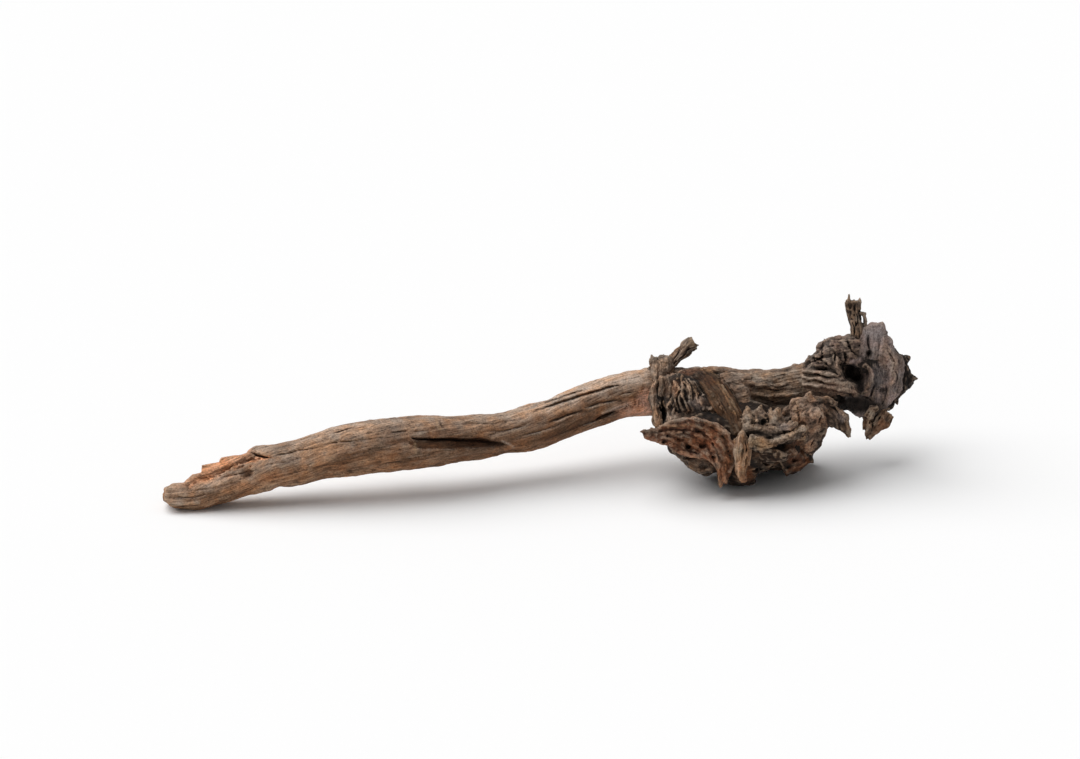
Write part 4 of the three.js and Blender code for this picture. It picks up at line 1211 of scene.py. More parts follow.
def fan_line(share):
    """A line of the bark fan, from its left edge at 0 to its right edge at 1."""
    return [(a + (c - a) * share, b + (d - b) * share) for (a, b), (c, d) in zip(FAN_LEFT, FAN_RIGHT)]


def build_bark(sizes, tones):
    wood = Wood(*sight_box((84, 171), (42, 106), (-44, 15)), sizes.bark_cube)
    core = wood.skin("bark core", Grain(direction=(0.4, 0.2, -0.9)), tones)
    form, _ = trunk(grow=0.4)
    side = trunk_skin(wood, tones)
    wood.add(form, skin=side)
    wood.keep(low=132, high=171)
    wood.tube(SHOULDER, 8, side, fluting=0.02, lumps=0.15, seed=5, grow=0.5)
    carve_neck(wood, side)
    wood.balls(((118, 66, 4), (24, 26, 27), 2, core, 0.08, 40, 2),
               ((144, 62, 2), (20, 20, 20), 2, core, 0.08, 40, 6, -0.6))
    shape_fan(wood, tones)
    shape_wrinkles(wood, core, tones)
    shape_collar(wood, core, tones)
    # the burl's main mesh carries on behind this plane
    wood.plate([(70, 20), (190, 20), (190, 130), (70, 130)], 14, 60, soft=0.4, skin=core, ragged=0, bevel=0.5,
               carve=True)
    wood.roughen()
    wood.keep(low=ARM_END - OVERLAP)
    surface = wood.surface(tones)
    paint_bark(surface, tones)
    place_piece("bark_wood", surface, "burl",
                wood_finish("burl bark", sizes.grain_depth, streak=0.75, speck=0.55, dull=0.8))


def shape_fan(wood, tones):
    """Smooth bark that fans from the trunk's top down to the wedge."""
    path = limb([(124, 92, 8, 6, 8), (140, 81, -10, 9, 9), (152, 64, -26, 9, 9), (160, 43, -36, 4, 6)])[1]
    fan = wood.skin("bark fan", Grain(path), tones)
    sheet = [(112, 92), (125, 93), (136.6, 92), (145.6, 86), (153, 76.8), (158.6, 66.8), (162.2, 56.6), (164, 45),
             (159, 40), (151, 42.4), (144, 50.4), (138.6, 58.2), (133.6, 67.4), (129.8, 76), (123.8, 83),
             (115, 87.4)]
    wood.plate(sheet, -30, 20, soft=2.5, skin=fan, lean_up=0.9, ragged=0.35, bevel=5, shape=fan_relief)
    for i in range(15):
        wood.crack(fan_line((i + 0.5) / 15), 1.0 + 0.3 * (i % 3), 0.7 + 0.5 * (i % 2), spacing=3)
    wood.crack(FAN_LEFT[2:], 1.8, 2.6, 1.0)
    wood.crack([(a + 0.6, u) for a, u in FAN_RIGHT], 1.4, 2.6, 0.6)
    wood.crack([(112, 88.6), (122, 90), (132, 88)], 1.1, 1.4)


def fan_relief(a, u, edge):
    rise = 2.8 * bell(away_from([(124, 90), (137, 81), (147, 66), (157, 47)], a, u), 9)
    rise = rise + 1.1 * bell(away_from([(139, 87.4), (147, 77.6), (152.6, 67), (156, 57)], a, u), 1.8)
    rise = rise - 3.0 * bell(away_from([(141, 90), (151, 80), (158, 68), (162, 55)], a, u), 3)
    return rise - 1.5 - 0.55 * np.maximum(0, 62 - u) - 0.8 * np.maximum(0, u - 80)


def shape_wrinkles(wood, core, tones):
    """Crumpled bark between collar and fan: wavering folds that run down from one point, with dark gaps."""
    path = grain_path(([112, 114, 120], [90, 74, 54], [0, -16, -27]), 30)
    fold = wood.skin("bark folds", Grain(path), tones)
    pleat = wood.skin("bark pleat", Grain(path), tones)
    sheet = [(104, 88), (112, 90), (120, 89), (128, 79), (135, 68), (141, 57), (143, 50), (126, 51), (110, 51),
             (101, 50), (101, 66), (103, 80)]
    wood.plate(sheet, -15.5, 18, soft=2.5, skin=fold, lean_up=0.62, lean_across=-0.12, ragged=0.4, bevel=3,
               shape=wrinkle_relief, seed=4)
    wood.ball((128, 64, -20), (8, 6.5, 6), soft=2.5, skin=pleat, bumps=0.08, wavelength=12, turn=-0.8)
    for i, line in enumerate(FOLDS):
        wood.ridge(line, 1.6 + 0.3 * (i % 3), 1.0 + 0.5 * (i % 2), 0.6, fold, 0.2)
    for i, line in enumerate(GAPS):
        wood.crack(line, 1.2 + 0.2 * (i % 3), 1.4 + 0.6 * (i % 2), 0.4)
    for i, (a, u) in enumerate(CHIPS):
        wood.ball((a, u, wood.front_at(a, u) - 0.3), (1.4, 0.9, 1.2), soft=0.4, skin=fold, turn=0.3 * i)
    wood.tube(
        [(112, 54.6, -28, 1.5, 4), (122, 54.6, -31, 3, 9), (130, 55.4, -33, 3.6, 9), (138, 52.6, -34, 4, 9),
         (146, 47.2, -36, 3.6, 8), (153, 40.6, -38, 2, 5)], 1.5, core, carve=True, fluting=0.1, lumps=0.5)


def wrinkle_relief(a, u, edge):
    return 1.6 * rough(flat_on(a / 3.6, u / 9), 71, 3) + 1.2 * bell(np.hypot((a - 118) / 1.2, u - 72), 12)


def shape_collar(wood, core, tones):
    """Strand and smooth bark round the root of the twig, with the dark slit below them."""
    form, path = limb(
        [(91, 101, 14, 6, 6), (93, 90, 9, 8, 8), (92, 79, 5, 8, 8), (91.4, 68, 1, 7, 9), (93, 58, -4, 6, 10),
         (94.6, 47, -10, 5.4, 8)], fluting=0.14, lumps=0.9, seed=3)
    strand = wood.skin("collar strand", Grain(path), tones)
    smooth = wood.skin("collar bark", Grain(path), tones)
    wood.ball((101, 56, 8), (9, 13, 13), soft=2, skin=core, bumps=0.05)
    wood.add(form, soft=2.0, skin=strand)
    wood.ball((98, 94, 15), (8, 7, 8), soft=2, skin=strand, bumps=0.2, wavelength=9, seed=5)
    bark = [(94.4, 84), (96.4, 88), (98.6, 87.4), (101, 88.6), (103.4, 87.8), (106, 90), (108.6, 88.6), (108.6, 82),
            (107, 76), (104.6, 70), (101, 68.4), (97.4, 70), (94.6, 75)]
    wood.plate(bark, -3, 14, soft=0.8, skin=smooth, lean_up=0.45, lean_across=-0.1, ragged=0.7, bevel=2.4, seed=8)
    wood.tube([(98, 72, -8, 2, 8), (99.4, 62, -12, 5.6, 24), (100, 50, -16, 4.4, 20)], 0.8, core, carve=True,
              fluting=0, lumps=0.3)
    for line in ([(92, 99), (93.4, 88), (90.6, 74), (91.4, 58)], [(97, 98), (98.4, 93), (97.4, 90)],
                 [(102, 98), (103.4, 94), (102.4, 90.6)], [(97, 86), (98, 78), (97, 71)],
                 [(103, 87), (104.4, 79), (102, 71)]):
        wood.ridge(line, 1.5, 1.3, 0.6, strand)
    for line in (
            [(95, 98), (95.6, 88), (94.2, 76), (95.2, 66)], [(99.6, 98), (100.4, 93), (99.4, 89.6)],
            [(89.6, 98), (89.8, 88), (88.4, 72)], [(104.4, 96), (105, 91)], [(100, 86), (100.8, 78), (99.6, 71)],
            [(105.6, 86), (106, 80), (104.6, 74)], [(98.6, 88.4), (103, 89), (107, 90.4)]):
        wood.crack(line, 1.1, 1.8)


def paint_bark(s, tones):
    for i in range(14):
        shade = (tones.fan_dark, tones.fan_rust, tones.fan_dark, tones.bark_light)[i % 4]
        s.tint((0.4, 0.25, 0.5, 0.3)[i % 4] * s.line(fan_line((i + 0.4) / 14), 0.35, 0.6, seed=30 + i), shade)
    s.paint(
        tones,
        (0.5, "ear_dark", 5, 132, 85, 8, 3.4, -0.5), (0.35, "fan_olive", 6, 139, 69, 4, 10, 0.55),
        # a painted highlight along the fan's raised ridge, and painted shade just right of it
        (0.5, "fan_dark", 14, 156, 50, 5, 8, 0.4), (0.5, "wedge_tan", 7, fan_line(0.72)[2:5], 0.6, 0.8),
        (0.4, "bark_dark", 27, fan_line(0.8)[2:5], 0.5, 0.7),
        (0.4, "wedge_tan", 9, [(129, 91.6), (137, 90.2), (141, 87)], 0.7, 0.8),
        # painted shade along the fan's left edge
        (0.35, "ear_red", 10, 120, 91, 8, 2.2), (0.6, "hollow", 8, FAN_LEFT[1:], 0.8, 1.2),
        (0.4, "wedge_tan", 28, [(143, 83), (151, 73), (156.4, 62)], 0.9, 1.2))
    # pale worn tops of the folds with a painted highlight, and painted shade in the gaps between them
    for i, line in enumerate(FOLDS):
        s.tint((0.65 if i % 2 else 0.45) * s.line(line, 0.4, 0.6, seed=40 + i), tones.ridge_pale)
    for line in GAPS:
        s.tint(0.65 * s.line(line, 0.4, 0.6, seed=50), tones.hollow)
    for a, u in CHIPS:
        s.tint(0.8 * s.patch(a, u, 1.5, 0.9, 0.3, blur=0.4, seed=51), tones.weathered)
    s.paint(
        tones,
        (0.35, "crown_grey", 52, 126, 64, 7, 6),
        # painted shade in the trough under the folds
        (0.8, "hollow", 53, [(114, 55), (123, 55), (131, 56), (138, 53.4), (146, 48), (153, 41)], 1.6, 1.4),
        (0.4, "fan_rust", 16, 108, 76, 3, 6), (0.35, "bark_light", 3, 101, 79, 6, 8),
        (0.6, "knob_brown", 17, [(96, 87.8), (101, 88.4), (107, 89.6)], 0.7, 0.8),
        # painted shade in the slit below the collar and in the recess between the folds and the ear
        (0.97, "hollow", 4, [(98.4, 70), (99.8, 60), (100, 51)], 2.2),
        (0.85, "hollow", 18, 136, 54, 14, 4.4, -0.45), (0.6, "weathered", 19, 97, 92, 7, 6),
        (0.45, "knob_brown", 20, [(92, 80), (91.4, 68), (93, 58), (94.6, 48)], 1.4, 1.2))


# Ear slab and wedge
CREST = [(84, 43.5), (96, 46.5), (110, 52), (125, 53.4), (141, 49.2), (150.6, 41), (155.4, 30), (156.4, 20),
         (152.5, 10)]
INNER_RIM = [(104, 47), (118, 48.4), (131, 45.4), (141, 38), (147.6, 28), (149.6, 17), (147, 4)]


def ear_relief(a, u, edge):
    flat = flat_on(a, u)
    broken = 0.6 + 0.8 * rough(flat / 9, 17, 2)
    height = 1.9 * broken * bell(away_from(CREST, a, u), 2.2) + 1.4 * broken * bell(away_from(INNER_RIM, a, u), 1.6)
    band = bell(away_from([(132, 50), (145, 41), (152, 29), (153, 18)], a, u), 3.0)
    height -= 1.2 * band
    dish = bell(np.hypot((a - 121) / 1.9, (u - 33) / 0.85), 10)
    height -= 3.0 * dish
    for x, y, wide, deep in ((118, 31.4, 3.2, 2.8), (130, 31.6, 3.8, 2.6), (99, 34, 2.6, 2.6),
                             (109.5, 36, 2.4, 1.8), (127, 26, 3.6, 2.0), (138, 22, 3, 2.4)):
        height -= deep * bell(np.hypot(a - x, u - y), wide)
    for line, wide, tall in (
            ([(112, 38), (122, 34), (131, 27), (138, 16)], 1.5, 1.5), ([(100, 37), (112, 30), (122, 25)], 1.4, 1.1),
            ([(124, 40), (134, 38), (141, 28), (143.5, 12), (144.6, 2)], 1.5, 1.7),
            ([(90, 41), (101, 41.6), (112, 43.6)], 1.3, 1.2)):
        height += tall * broken * bell(away_from(line, a, u), wide)
    height += 1.6 * rough(flat / 4.5, 5, 3) + 0.9 * rough(flat_on(a / 9, u / 3.2), 9, 3)
    return height


def build_ear_slab(sizes, tones):
    wood = Wood(*sight_box((78, 172), (-6, 60), (-58, -16)), sizes.slab_cube)
    columns = [80, 96, 114, 132, 145, 150, 146], [41, 43, 44.5, 39, 28, 14, -4], [-50, -48, -46, -44, -42, -42, -40]
    arc = grain_path(columns, 90)
    slab = wood.skin("ear slab", Grain(arc), tones)
    rim = wood.skin("ear rim", Grain(arc), tones)
    outline = [(82.4, 44), (84.5, 38), (90, 36), (101, 32), (109, 26), (117, 22.4), (126, 21), (134, 20.4),
               (140, 15), (143, 7), (144.4, -1.8), (146.2, -0.4), (147, 3), (148.8, 0.6), (151, 8), (154, 13),
               (157, 21), (156, 30), (151, 41), (141, 49.5), (125, 53.6), (110, 52.4), (95, 45.8)]
    wood.plate(outline, -46, 17, skin=slab, lean_across=0.16, lean_up=-0.1, ragged=0.6, bevel=2.6, shape=ear_relief)
    for line, wide in ((CREST, 1.6), ([(142.4, 14), (143.4, 6), (144.8, -1)], 1.4), ([(148, 12), (148.6, 2)], 1.3)):
        wood.ridge(line, wide, 1.0, 1.2, rim, 0.4)
    flow = ([(104, 44.5), (118, 44.6), (130, 40.6), (139, 32), (144.4, 20), (145.6, 6)],
            [(108, 42), (119, 41), (129, 36), (136, 28), (141, 16)], [(98, 40), (108, 37.4), (117, 35)],
            [(112, 31), (121, 27.4), (129, 24)], [(146, 37), (151, 27), (151.6, 16), (149, 7)],
            [(96, 37), (106, 33), (114, 28)], [(134, 47.6), (143, 42), (150, 33), (152.6, 22)],
            [(139, 20), (142.4, 12), (145, 3)], [(143, 26), (147, 16), (147.6, 5)], [(88, 42), (96, 42), (104, 45)],
            [(148, 22), (150, 13), (150, 5)], [(124, 44), (134, 39), (141, 29), (143, 20)])
    for i, line in enumerate(flow):
        wood.crack(line, 1.0, 0.9 + 0.8 * (i % 3 == 0), 0.4)
    for a, u, wide, deep in ((118, 31.4, 2.0, 3.2), (130, 31.6, 2.4, 2.6), (99, 34.4, 1.5, 2.6),
                             (109.5, 36, 1.3, 2), (138, 23, 1.6, 2.4)):
        wood.ball((a, u, wood.front_at(a, u)), (wide, wide * 0.8, deep), soft=0.9, skin=slab, bumps=0.25,
                  wavelength=4, carve=True)
    wood.thorns(
        (((88, 41, -48), (80.6, 42.6, -51), 7), ((90, 38, -46), (83, 37.4, -48), 4),
         ((145, 6, -41), (144.6, -2.4, -39.4), 3.6), ((148.6, 7, -41), (149, 0.4, -39.6), 3.4)), 1.2, slab)
    wedge_form, wedge_path = limb(
        [(162.4, 42.6, -40, 2, 4), (161.4, 36, -43, 9.5, 11), (162, 27, -43, 12.5, 12), (161.6, 18, -39, 12, 12),
         (161, 9.5, -34, 9, 10), (161.6, 4.6, -30, 5, 8)], fluting=0.1, lumps=0.7, flutes=4)
    wedge = wood.skin("wedge", Grain(wedge_path), tones)
    wood.add(wedge_form, soft=0.6, skin=wedge)
    wood.crack([(161.6, 40), (165, 31), (165.6, 20), (163, 9)], 1.1, 2.4)
    wood.crack([(157.6, 36), (157.4, 28), (158.4, 18), (157.6, 10)], 0.9, 1.6)
    wood.ridge([(160, 41), (157.6, 35), (156.6, 26), (157, 18)], 1.5, 1.0, skin=wedge)
    wood.roughen()
    surface = wood.surface(tones, stands=True)
    surface.paint(
        tones,
        # the crest and the wedge's ridge are worn pale with a painted highlight
        (0.4, "ridge_pale", 2, CREST, 1.0, 0.8), (0.3, "wedge_tan", 3, INNER_RIM, 0.8, 0.8),
        (0.45, "fan_olive", 4, [(132, 50), (145, 41), (152, 29), (153, 18)], 2.4),
        (0.5, "wedge_tan", 5, [(142.4, 13), (143.6, 5), (145.4, -1)], 0.8), (0.75, "fan_rust", 6, 147, 13, 5, 12),
        (0.3, "fresh_break", 26, [(140, 22), (146, 13), (148, 3)], 1.2, 1.0),
        (0.45, "fresh_break", 7, 158, 12, 3, 7),
        (0.45, "fan_olive", 11, [(165.6, 36), (167.4, 26), (166, 14)], 1.6),
        (0.4, "ridge_pale", 13, [(158, 38), (156.4, 28), (157, 18)], 1.0), (0.4, "fan_rust", 12, 164, 4, 7, 5),
        (0.35, "fan_rust", 9, 112, 34, 9, 5), (0.4, "fan_rust", 29, 126, 35, 8, 6),
        (0.5, "bark_dark", 10, 86, 42, 7, 4))
    # painted shade along the flow cracks and in the pits
    for line in flow:
        surface.tint(0.6 * surface.line(line, 0.45, 0.6, seed=18), tones.ear_dark)
    for a, u in ((118, 31.4), (130, 31.6), (99, 34.4)):
        surface.tint(0.7 * surface.patch(a, u, 2.2, 1.8, seed=19), tones.hollow)
    place_piece("ear_slab_wood", surface, "burl",
                wood_finish("torn ear wood", sizes.grain_depth, streak=0.7, dull=0.78, warm=(1.24, 0.92, 0.72)))


# Crags, porous knob and lobe
def build_crags(sizes, tones):
    wood = Wood(*sight_box((156, 254), (18, 80), (-54, 14)), sizes.slab_cube)
    run = grain_path(([160, 180, 200, 222, 246], [44, 46, 48, 62, 52], [-40, -44, -34, -20, -12]), 70)
    torn = wood.skin("torn crags", Grain(run), tones)
    pale = wood.skin("pale crags", Grain(run), tones)
    knob = wood.skin("porous knob", Grain(run), tones)
    lobe_path = grain_path(([222, 234, 244, 248], [66, 66, 56, 40], [-18, -16, -12, -10]), 30)
    lobe = wood.skin("lobe", Grain(lobe_path), tones)
    flow = wood.skin("crag flow", Grain(run), tones)
    wood.balls(
        ((184, 27, -22), (19, 9, 19), 2, flow, 0.14, 16, 11, -0.15),
        ((181, 40, -18), (25, 13, 23), 2, torn, 0.14, 22, 4), ((196, 41, -8), (24, 15, 24), 3, torn, 0.12, 22, 5),
        ((213, 54, -12), (17, 17.5, 16), 3, knob, 0.16, 20, 8),
        ((214.6, 41, -9), (11.5, 17, 13), 4, knob, 0.12, 22, 9, 0.1))
    outline = [
        (219, 71), (227, 70.4), (232.4, 69), (235.8, 66.6), (236.6, 62), (241.4, 58.8), (246.2, 56), (247.2, 48),
        (248, 38), (244.6, 41.6), (239.6, 45), (234.6, 46.4), (229.4, 46.6), (226.4, 42), (217, 42)]
    wood.plate(outline, -17, 12, soft=2, skin=lobe, lean_across=0.3, ragged=0.45, bevel=2, shape=lobe_relief,
               seed=4)
    wood.tube(
        [(224, 62, -14, 8, 8), (233, 58, -12, 7, 7), (240.6, 54, -10, 4.4, 5), (245.4, 48.6, -9, 3.4, 5),
         (247.8, 39.4, -9, 1.6, 2.4)], 2, lobe, lumps=0.3, seed=4)
    plates = (
        ([(160.5, 40), (160.8, 48), (163, 58), (165.6, 62.5), (169, 57), (174, 60), (177, 62.8), (180, 58),
          (182.4, 50), (178, 42)], -41, 15, 0.1, torn),
        ([(181, 44), (183, 58), (184.5, 62), (187, 57), (190.6, 63.4), (192.4, 56), (196, 52), (193.6, 44)],
         -38, 15, 0.3, torn),
        ([(166, 35), (168, 39.6), (174, 39), (180, 36.6), (186, 36), (192, 39.5), (199, 41.6), (208, 44.6),
          (212.5, 46), (209, 41.4), (203, 38.4), (196, 36), (190, 33.4), (184, 30.6), (178, 28), (172, 27),
          (167, 29)], -44, 12, 0.2, torn),
        ([(203, 60), (207, 66), (213, 71), (215.6, 75), (218, 70), (222, 69), (219, 58), (208, 54)],
         -25, 12, 0.25, knob))
    for i, (edge, near, depth, lean, skin) in enumerate(plates):
        wood.plate(edge, near, depth, soft=0.9, skin=skin, lean_across=lean, ragged=0.9, bevel=1.2,
                   shape=crag_relief, seed=6 + i)
    wood.ball((197, 47, -35), (8.4, 3.7, 7), soft=0.8, skin=torn, bumps=0.12, wavelength=9, seed=7, turn=0.12)
    for start, end, wide in (
            ((211, 64, -19), (215.4, 74.6, -20), 8), ((206, 42, -34), (212.8, 46, -32), 5),
            ((226, 47, -12), (225.4, 41.6, -12), 6), ((163, 50, -38), (159.6, 53, -39), 5),
            ((187, 52, -38), (190.8, 63.6, -37), 4), ((165, 54, -38), (165.8, 62.8, -39), 4)):
        wood.thorn(start, end, wide, wide, soft=1.4, skin=knob if start[0] > 205 else torn)
    wood.balls(((178.4, 50.8, -44), (3.9, 3.4, 9), 1.2, torn, 0.2, 6, 1, 0, True),
               ((170, 50, -44), (2.2, 3.4, 6), 1.2, torn, 0.2, 6, 1, 0, True))
    wood.tube(
        [(166, 43, -50, 1.5, 8), (172, 42, -50, 2.6, 12), (179, 40.6, -50, 3.4, 14), (184, 39.4, -48, 1.8, 8)], 0.8,
        torn, carve=True, fluting=0.1, lumps=0.4)
    wood.tube([(180, 38.6, -51, 1.2, 6), (185.6, 38, -50, 2.6, 11), (190.4, 40.4, -48, 1.5, 7)], 0.8, torn,
              carve=True, fluting=0)
    wood.tube([(186, 30, -48, 2, 6), (194, 30, -44, 6, 11), (203, 32, -38, 6, 11), (207, 35, -34, 2, 6)], 2, torn,
              carve=True, fluting=0, lumps=0.5)
    for line, wide, tall in (
            ([(168, 38.6), (175, 37.6), (182, 35.8)], 1.4, 1.0),
            ([(188, 36.6), (196, 39.6), (206, 43.2), (211, 45)], 1.6, 1.2),
            ([(163, 48), (168, 46), (174, 46.4)], 1.8, 1.3)):
        wood.ridge(line, wide, tall, 1.2, pale)
    for line, wide, deep in (
            ([(169, 58), (172, 51), (171, 45)], 1.4, 3), ([(182, 60), (182.6, 53), (184, 47)], 1.6, 4),
            ([(187, 57), (188.4, 51)], 1.2, 2.6), ([(198, 56), (201, 50), (207, 46)], 1.5, 3),
            ([(171, 33), (178, 31), (184, 33)], 1.2, 2), ([(208, 66), (206, 58), (208, 50)], 1.1, 2),
            ([(223, 64), (224.6, 56), (222, 48)], 1.4, 3), ([(230, 64), (237, 59), (241, 50)], 1, 1.4),
            ([(205, 50), (209, 42), (210, 32)], 1.2, 2.6), ([(222, 46), (221, 38), (216, 30)], 1.2, 2)):
        wood.crack(line, wide, deep)
    wood.roughen()
    surface = wood.surface(tones)
    surface.paint(
        tones,
        # pale worn ridges with a painted highlight
        (0.8, "ridge_pale", 2, [(186, 36.6), (196, 40.2), (206, 43.8), (212, 45.4)], 1.9),
        (0.75, "wedge_tan", 3, 175, 34, 9, 4, -0.1), (0.45, "ridge_pale", 13, 167, 51, 5, 8),
        (0.35, "ridge_pale", 14, 188, 55, 5, 7), (0.5, "ridge_pale", 12, [(163, 46.6), (169, 45), (176, 46)], 1.2),
        (0.35, "crown_grey", 4, 197, 47.4, 7, 3), (0.55, "crag_grey", 5, [(221, 70), (231, 69), (236, 65)], 1.0),
        (0.4, "crown_grey", 15, 240, 54, 5, 3.4, -0.5),
        # the near-black marks here are painted shade in the carved pockets, slits and grooves
        (0.5, "belly", 16, [(229, 66), (232, 60), (231, 53)], 1.6, 1.6), (0.8, "hollow", 6, 198, 31, 9, 3.6, 0.2),
        (0.8, "hollow", 9, 178.4, 50.8, 3.4, 3), (0.85, "hollow", 10, [(167, 43), (174, 41.8), (183, 39.6)], 1.2),
        (0.75, "hollow", 11, [(181, 38.4), (186, 38), (190, 40)], 0.9), (0.35, "fan_rust", 7, 206, 28, 9, 6),
        (0.4, "belly", 8, 233, 50, 9, 5))
    place_piece("crag_wood", surface, "burl",
                wood_finish("torn crag wood", sizes.grain_depth, streak=0.6, speck=0.8, stretch=0.14))


def crag_relief(a, u, edge):
    return 1.9 * rough(flat_on(a, u) / 7, 31, 2) - 1.6 * bell(edge, 1.6)


def lobe_relief(a, u, edge):
    height = 1.2 * bell(away_from([(219, 69), (230, 67), (240, 61), (246, 52), (248, 40)], a, u), 2.0)
    height -= 2.4 * bell(np.hypot((a - 231) / 0.8, u - 58), 6)
    return height + 1.6 * rough(flat_on(a, u) / 5, 7, 3)


# Root crown
PLATE_EDGE = [
    (257, 124.8), (259, 127.4), (263.6, 128.8), (274.8, 129.6), (277, 121), (283, 108), (290, 101), (291, 91),
    (288, 76), (283, 68), (277, 62), (266, 54), (254, 56), (246, 62), (240, 80), (246, 104), (255.6, 112),
    (256.4, 119)]


def plate_relief(a, u, edge):
    height = 1.0 * bell(edge + 2.0, 2.4)
    height += 2.2 * bell(away_from([(276, 110), (281, 98), (283, 86), (279, 72)], a, u), 3.0)
    height -= 1.8 * bell(np.hypot((a - 272) / 0.9, (u - 84) / 1.6), 8)
    height += 2.0 * bell(away_from([(262, 126), (268, 112), (266, 102)], a, u), 3.5)
    height -= 1.4 * bell(away_from([(280, 112), (284, 104), (287, 96)], a, u), 1.2)
    return height + 1.6 * rough(flat_on(a, u) / 7, 11, 3)


def build_root_crown(sizes, tones):
    wood = Wood((212, 26, 30), (313, 89, 124), sizes.crown_cube)
    stem_form, stem_path = trunk()
    upright = Grain(direction=(0.12, 0.34, 0.93))
    plate = wood.skin("crown plate", upright, tones)
    lumps = wood.skin("crown lumps", Grain(stem_path), tones)
    flange = wood.skin("rear flange", upright, tones)
    rib = wood.skin("crown ribs", upright, tones)
    stem = trunk_skin(wood, tones)
    wood.add(stem_form, skin=stem)
    wood.keep(high=262)
    wood.ball((247, 86, 37), (21, 25, 19.5), soft=3, skin=lumps, bumps=0.08, wavelength=24, seed=4)
    rear = [(270, 129), (276.5, 121), (284, 107), (289, 103), (295.4, 100.8), (293.8, 96), (296, 90), (302, 84.5),
            (296, 78), (288, 72), (284, 64), (278, 60), (268, 64), (262, 92), (264, 118)]
    wood.plate(rear, 38, 8, soft=1.5, skin=flange, lean_across=-0.1, lean_up=-0.1, ragged=1.1, bevel=2, seed=3)
    wood.thorns(
        (((289, 100, 40), (296, 101.4, 41), 5), ((293, 87, 40), (302.6, 84.4, 41), 8),
         ((284, 68, 40), (287, 64.6, 40), 4.6)), 1.5, flange)
    wood.ball((262, 96, 30), (25, 30, 17), soft=3, skin=flange, bumps=0.1, wavelength=26, seed=12)
    wood.plate(PLATE_EDGE, 14, 22, soft=2, skin=plate, lean_across=0.1, lean_up=-0.1, ragged=0.8, bevel=3,
               shape=plate_relief, seed=5)
    balls = (
        ((231, 100, 22), (13, 13.5, 15), 0.2, 17, 13), ((221, 93, 22), (10, 9, 12), 0.18, 15, 14),
        ((241, 107, 20), (13, 11, 12), 0.22, 15, 15), ((234, 84, 14), (13, 9, 9), 0.18, 14, 16),
        ((225, 102, 18), (8, 6.4, 8), 0.24, 11, 17), ((235, 110.6, 17), (9, 6.6, 8), 0.24, 11, 18),
        ((250, 110, 15), (8, 8, 8), 0.24, 11, 19),
    )
    for middle, radii, bumps, wavelength, seed in balls:
        wood.ball(middle, radii, soft=1.2, skin=lumps, bumps=bumps, wavelength=wavelength, seed=seed)
    for start, end, wide in (
            ((217, 99, 22), (212.6, 100.6, 22), 7), ((224, 106, 20), (221, 110.6, 20), 8),
            ((230, 112, 20), (226.6, 117, 20), 7), ((240, 114, 20), (241, 119.4, 19), 9),
            ((246, 114, 20), (247.6, 121, 19), 8), ((273, 126, 18), (274.6, 130.2, 17), 4),
            ((264, 125, 16), (263.4, 129.6, 15), 4)):
        wood.thorn(start, end, wide, wide, soft=1.5, skin=lumps if start[0] < 250 else plate)
    tendons = (
        [(206, 91, 16, 2, 4), (219, 90, 9.6, 3.4, 5), (231, 88.8, 4.6, 3.4, 5), (239, 87, 5, 2, 3)],
        [(206, 86, 14, 2, 4), (221, 84.8, 8.4, 3.4, 5), (235, 82.8, 3.6, 3.2, 5), (244, 79.6, 5, 1.6, 3)],
        [(206, 81, 12, 2, 4), (222, 79.8, 7.6, 3.4, 5), (238, 77.6, 4.4, 3, 5), (248, 74.6, 6, 1.6, 3)],
        [(210, 76.4, 13, 2, 4), (224, 75.4, 9.6, 3, 5), (238, 73.2, 9, 2.8, 5), (246, 71, 10, 1.6, 3)],
    )
    for i, stations in enumerate(tendons):
        wood.tube(stations, 1.4, stem, fluting=0.1, lumps=0.4, seed=21 + i)
    for line in ([(206, 88.6), (222, 87.6), (238, 84.6)], [(206, 83.4), (224, 82), (241, 78.4)],
                 [(208, 78.6), (226, 77.4), (244, 73.6)]):
        wood.crack(line, 1.2, 2.4)
    carve_crown(wood, rib)
    wood.tube([(252, 60, 26, 14, 16), (260, 64, 26, 16, 16), (267, 64, 26, 12, 14)], 3, flange, seed=8)
    wood.ball((243, 67, 24), (12, 7, 10), soft=3, skin=flange, bumps=0.14, wavelength=12)
    wood.roughen()
    wood.keep(low=NECK_END - OVERLAP - 9)
    surface = wood.surface(tones)
    paint_root_crown(surface, tones)
    place_piece("root_crown_wood", surface, "root_crown",
                wood_finish("rotted crown wood", sizes.grain_depth, streak=0.55, speck=0.75, stretch=0.1, dull=0.8,
                            warm=(1.1, 0.94, 0.88)))


CROWN_CRACKS = (
    ([(262, 120), (263.6, 112), (262, 106)], 1.4, 3.4), ([(271, 124), (272, 110), (269, 98)], 0.9, 1.2),
    ([(276, 112), (282, 100), (283, 86)], 1.1, 2.2), ([(268, 100), (274, 88), (272, 74)], 1, 1.6),
    ([(281, 96), (286, 88), (284, 76)], 1, 1.6), ([(246, 116), (249, 108), (256, 103)], 2.0, 4.5),
    ([(231, 112), (237, 104), (236, 98)], 2.0, 4.5), ([(218, 103), (226, 99), (232, 94)], 1.8, 4),
    ([(254, 72), (262, 70), (268, 62)], 1.2, 3), ([(216, 92.8), (226, 92), (236, 91)], 1.4, 3),
    ([(243, 106), (244, 100), (241, 94)], 1.8, 4), ([(227, 110), (226, 103), (219, 98)], 1.6, 3.4),
    ([(266, 92), (268, 80), (264, 70)], 1.4, 3), ([(276, 82), (277, 72), (273, 62)], 1, 1.6))


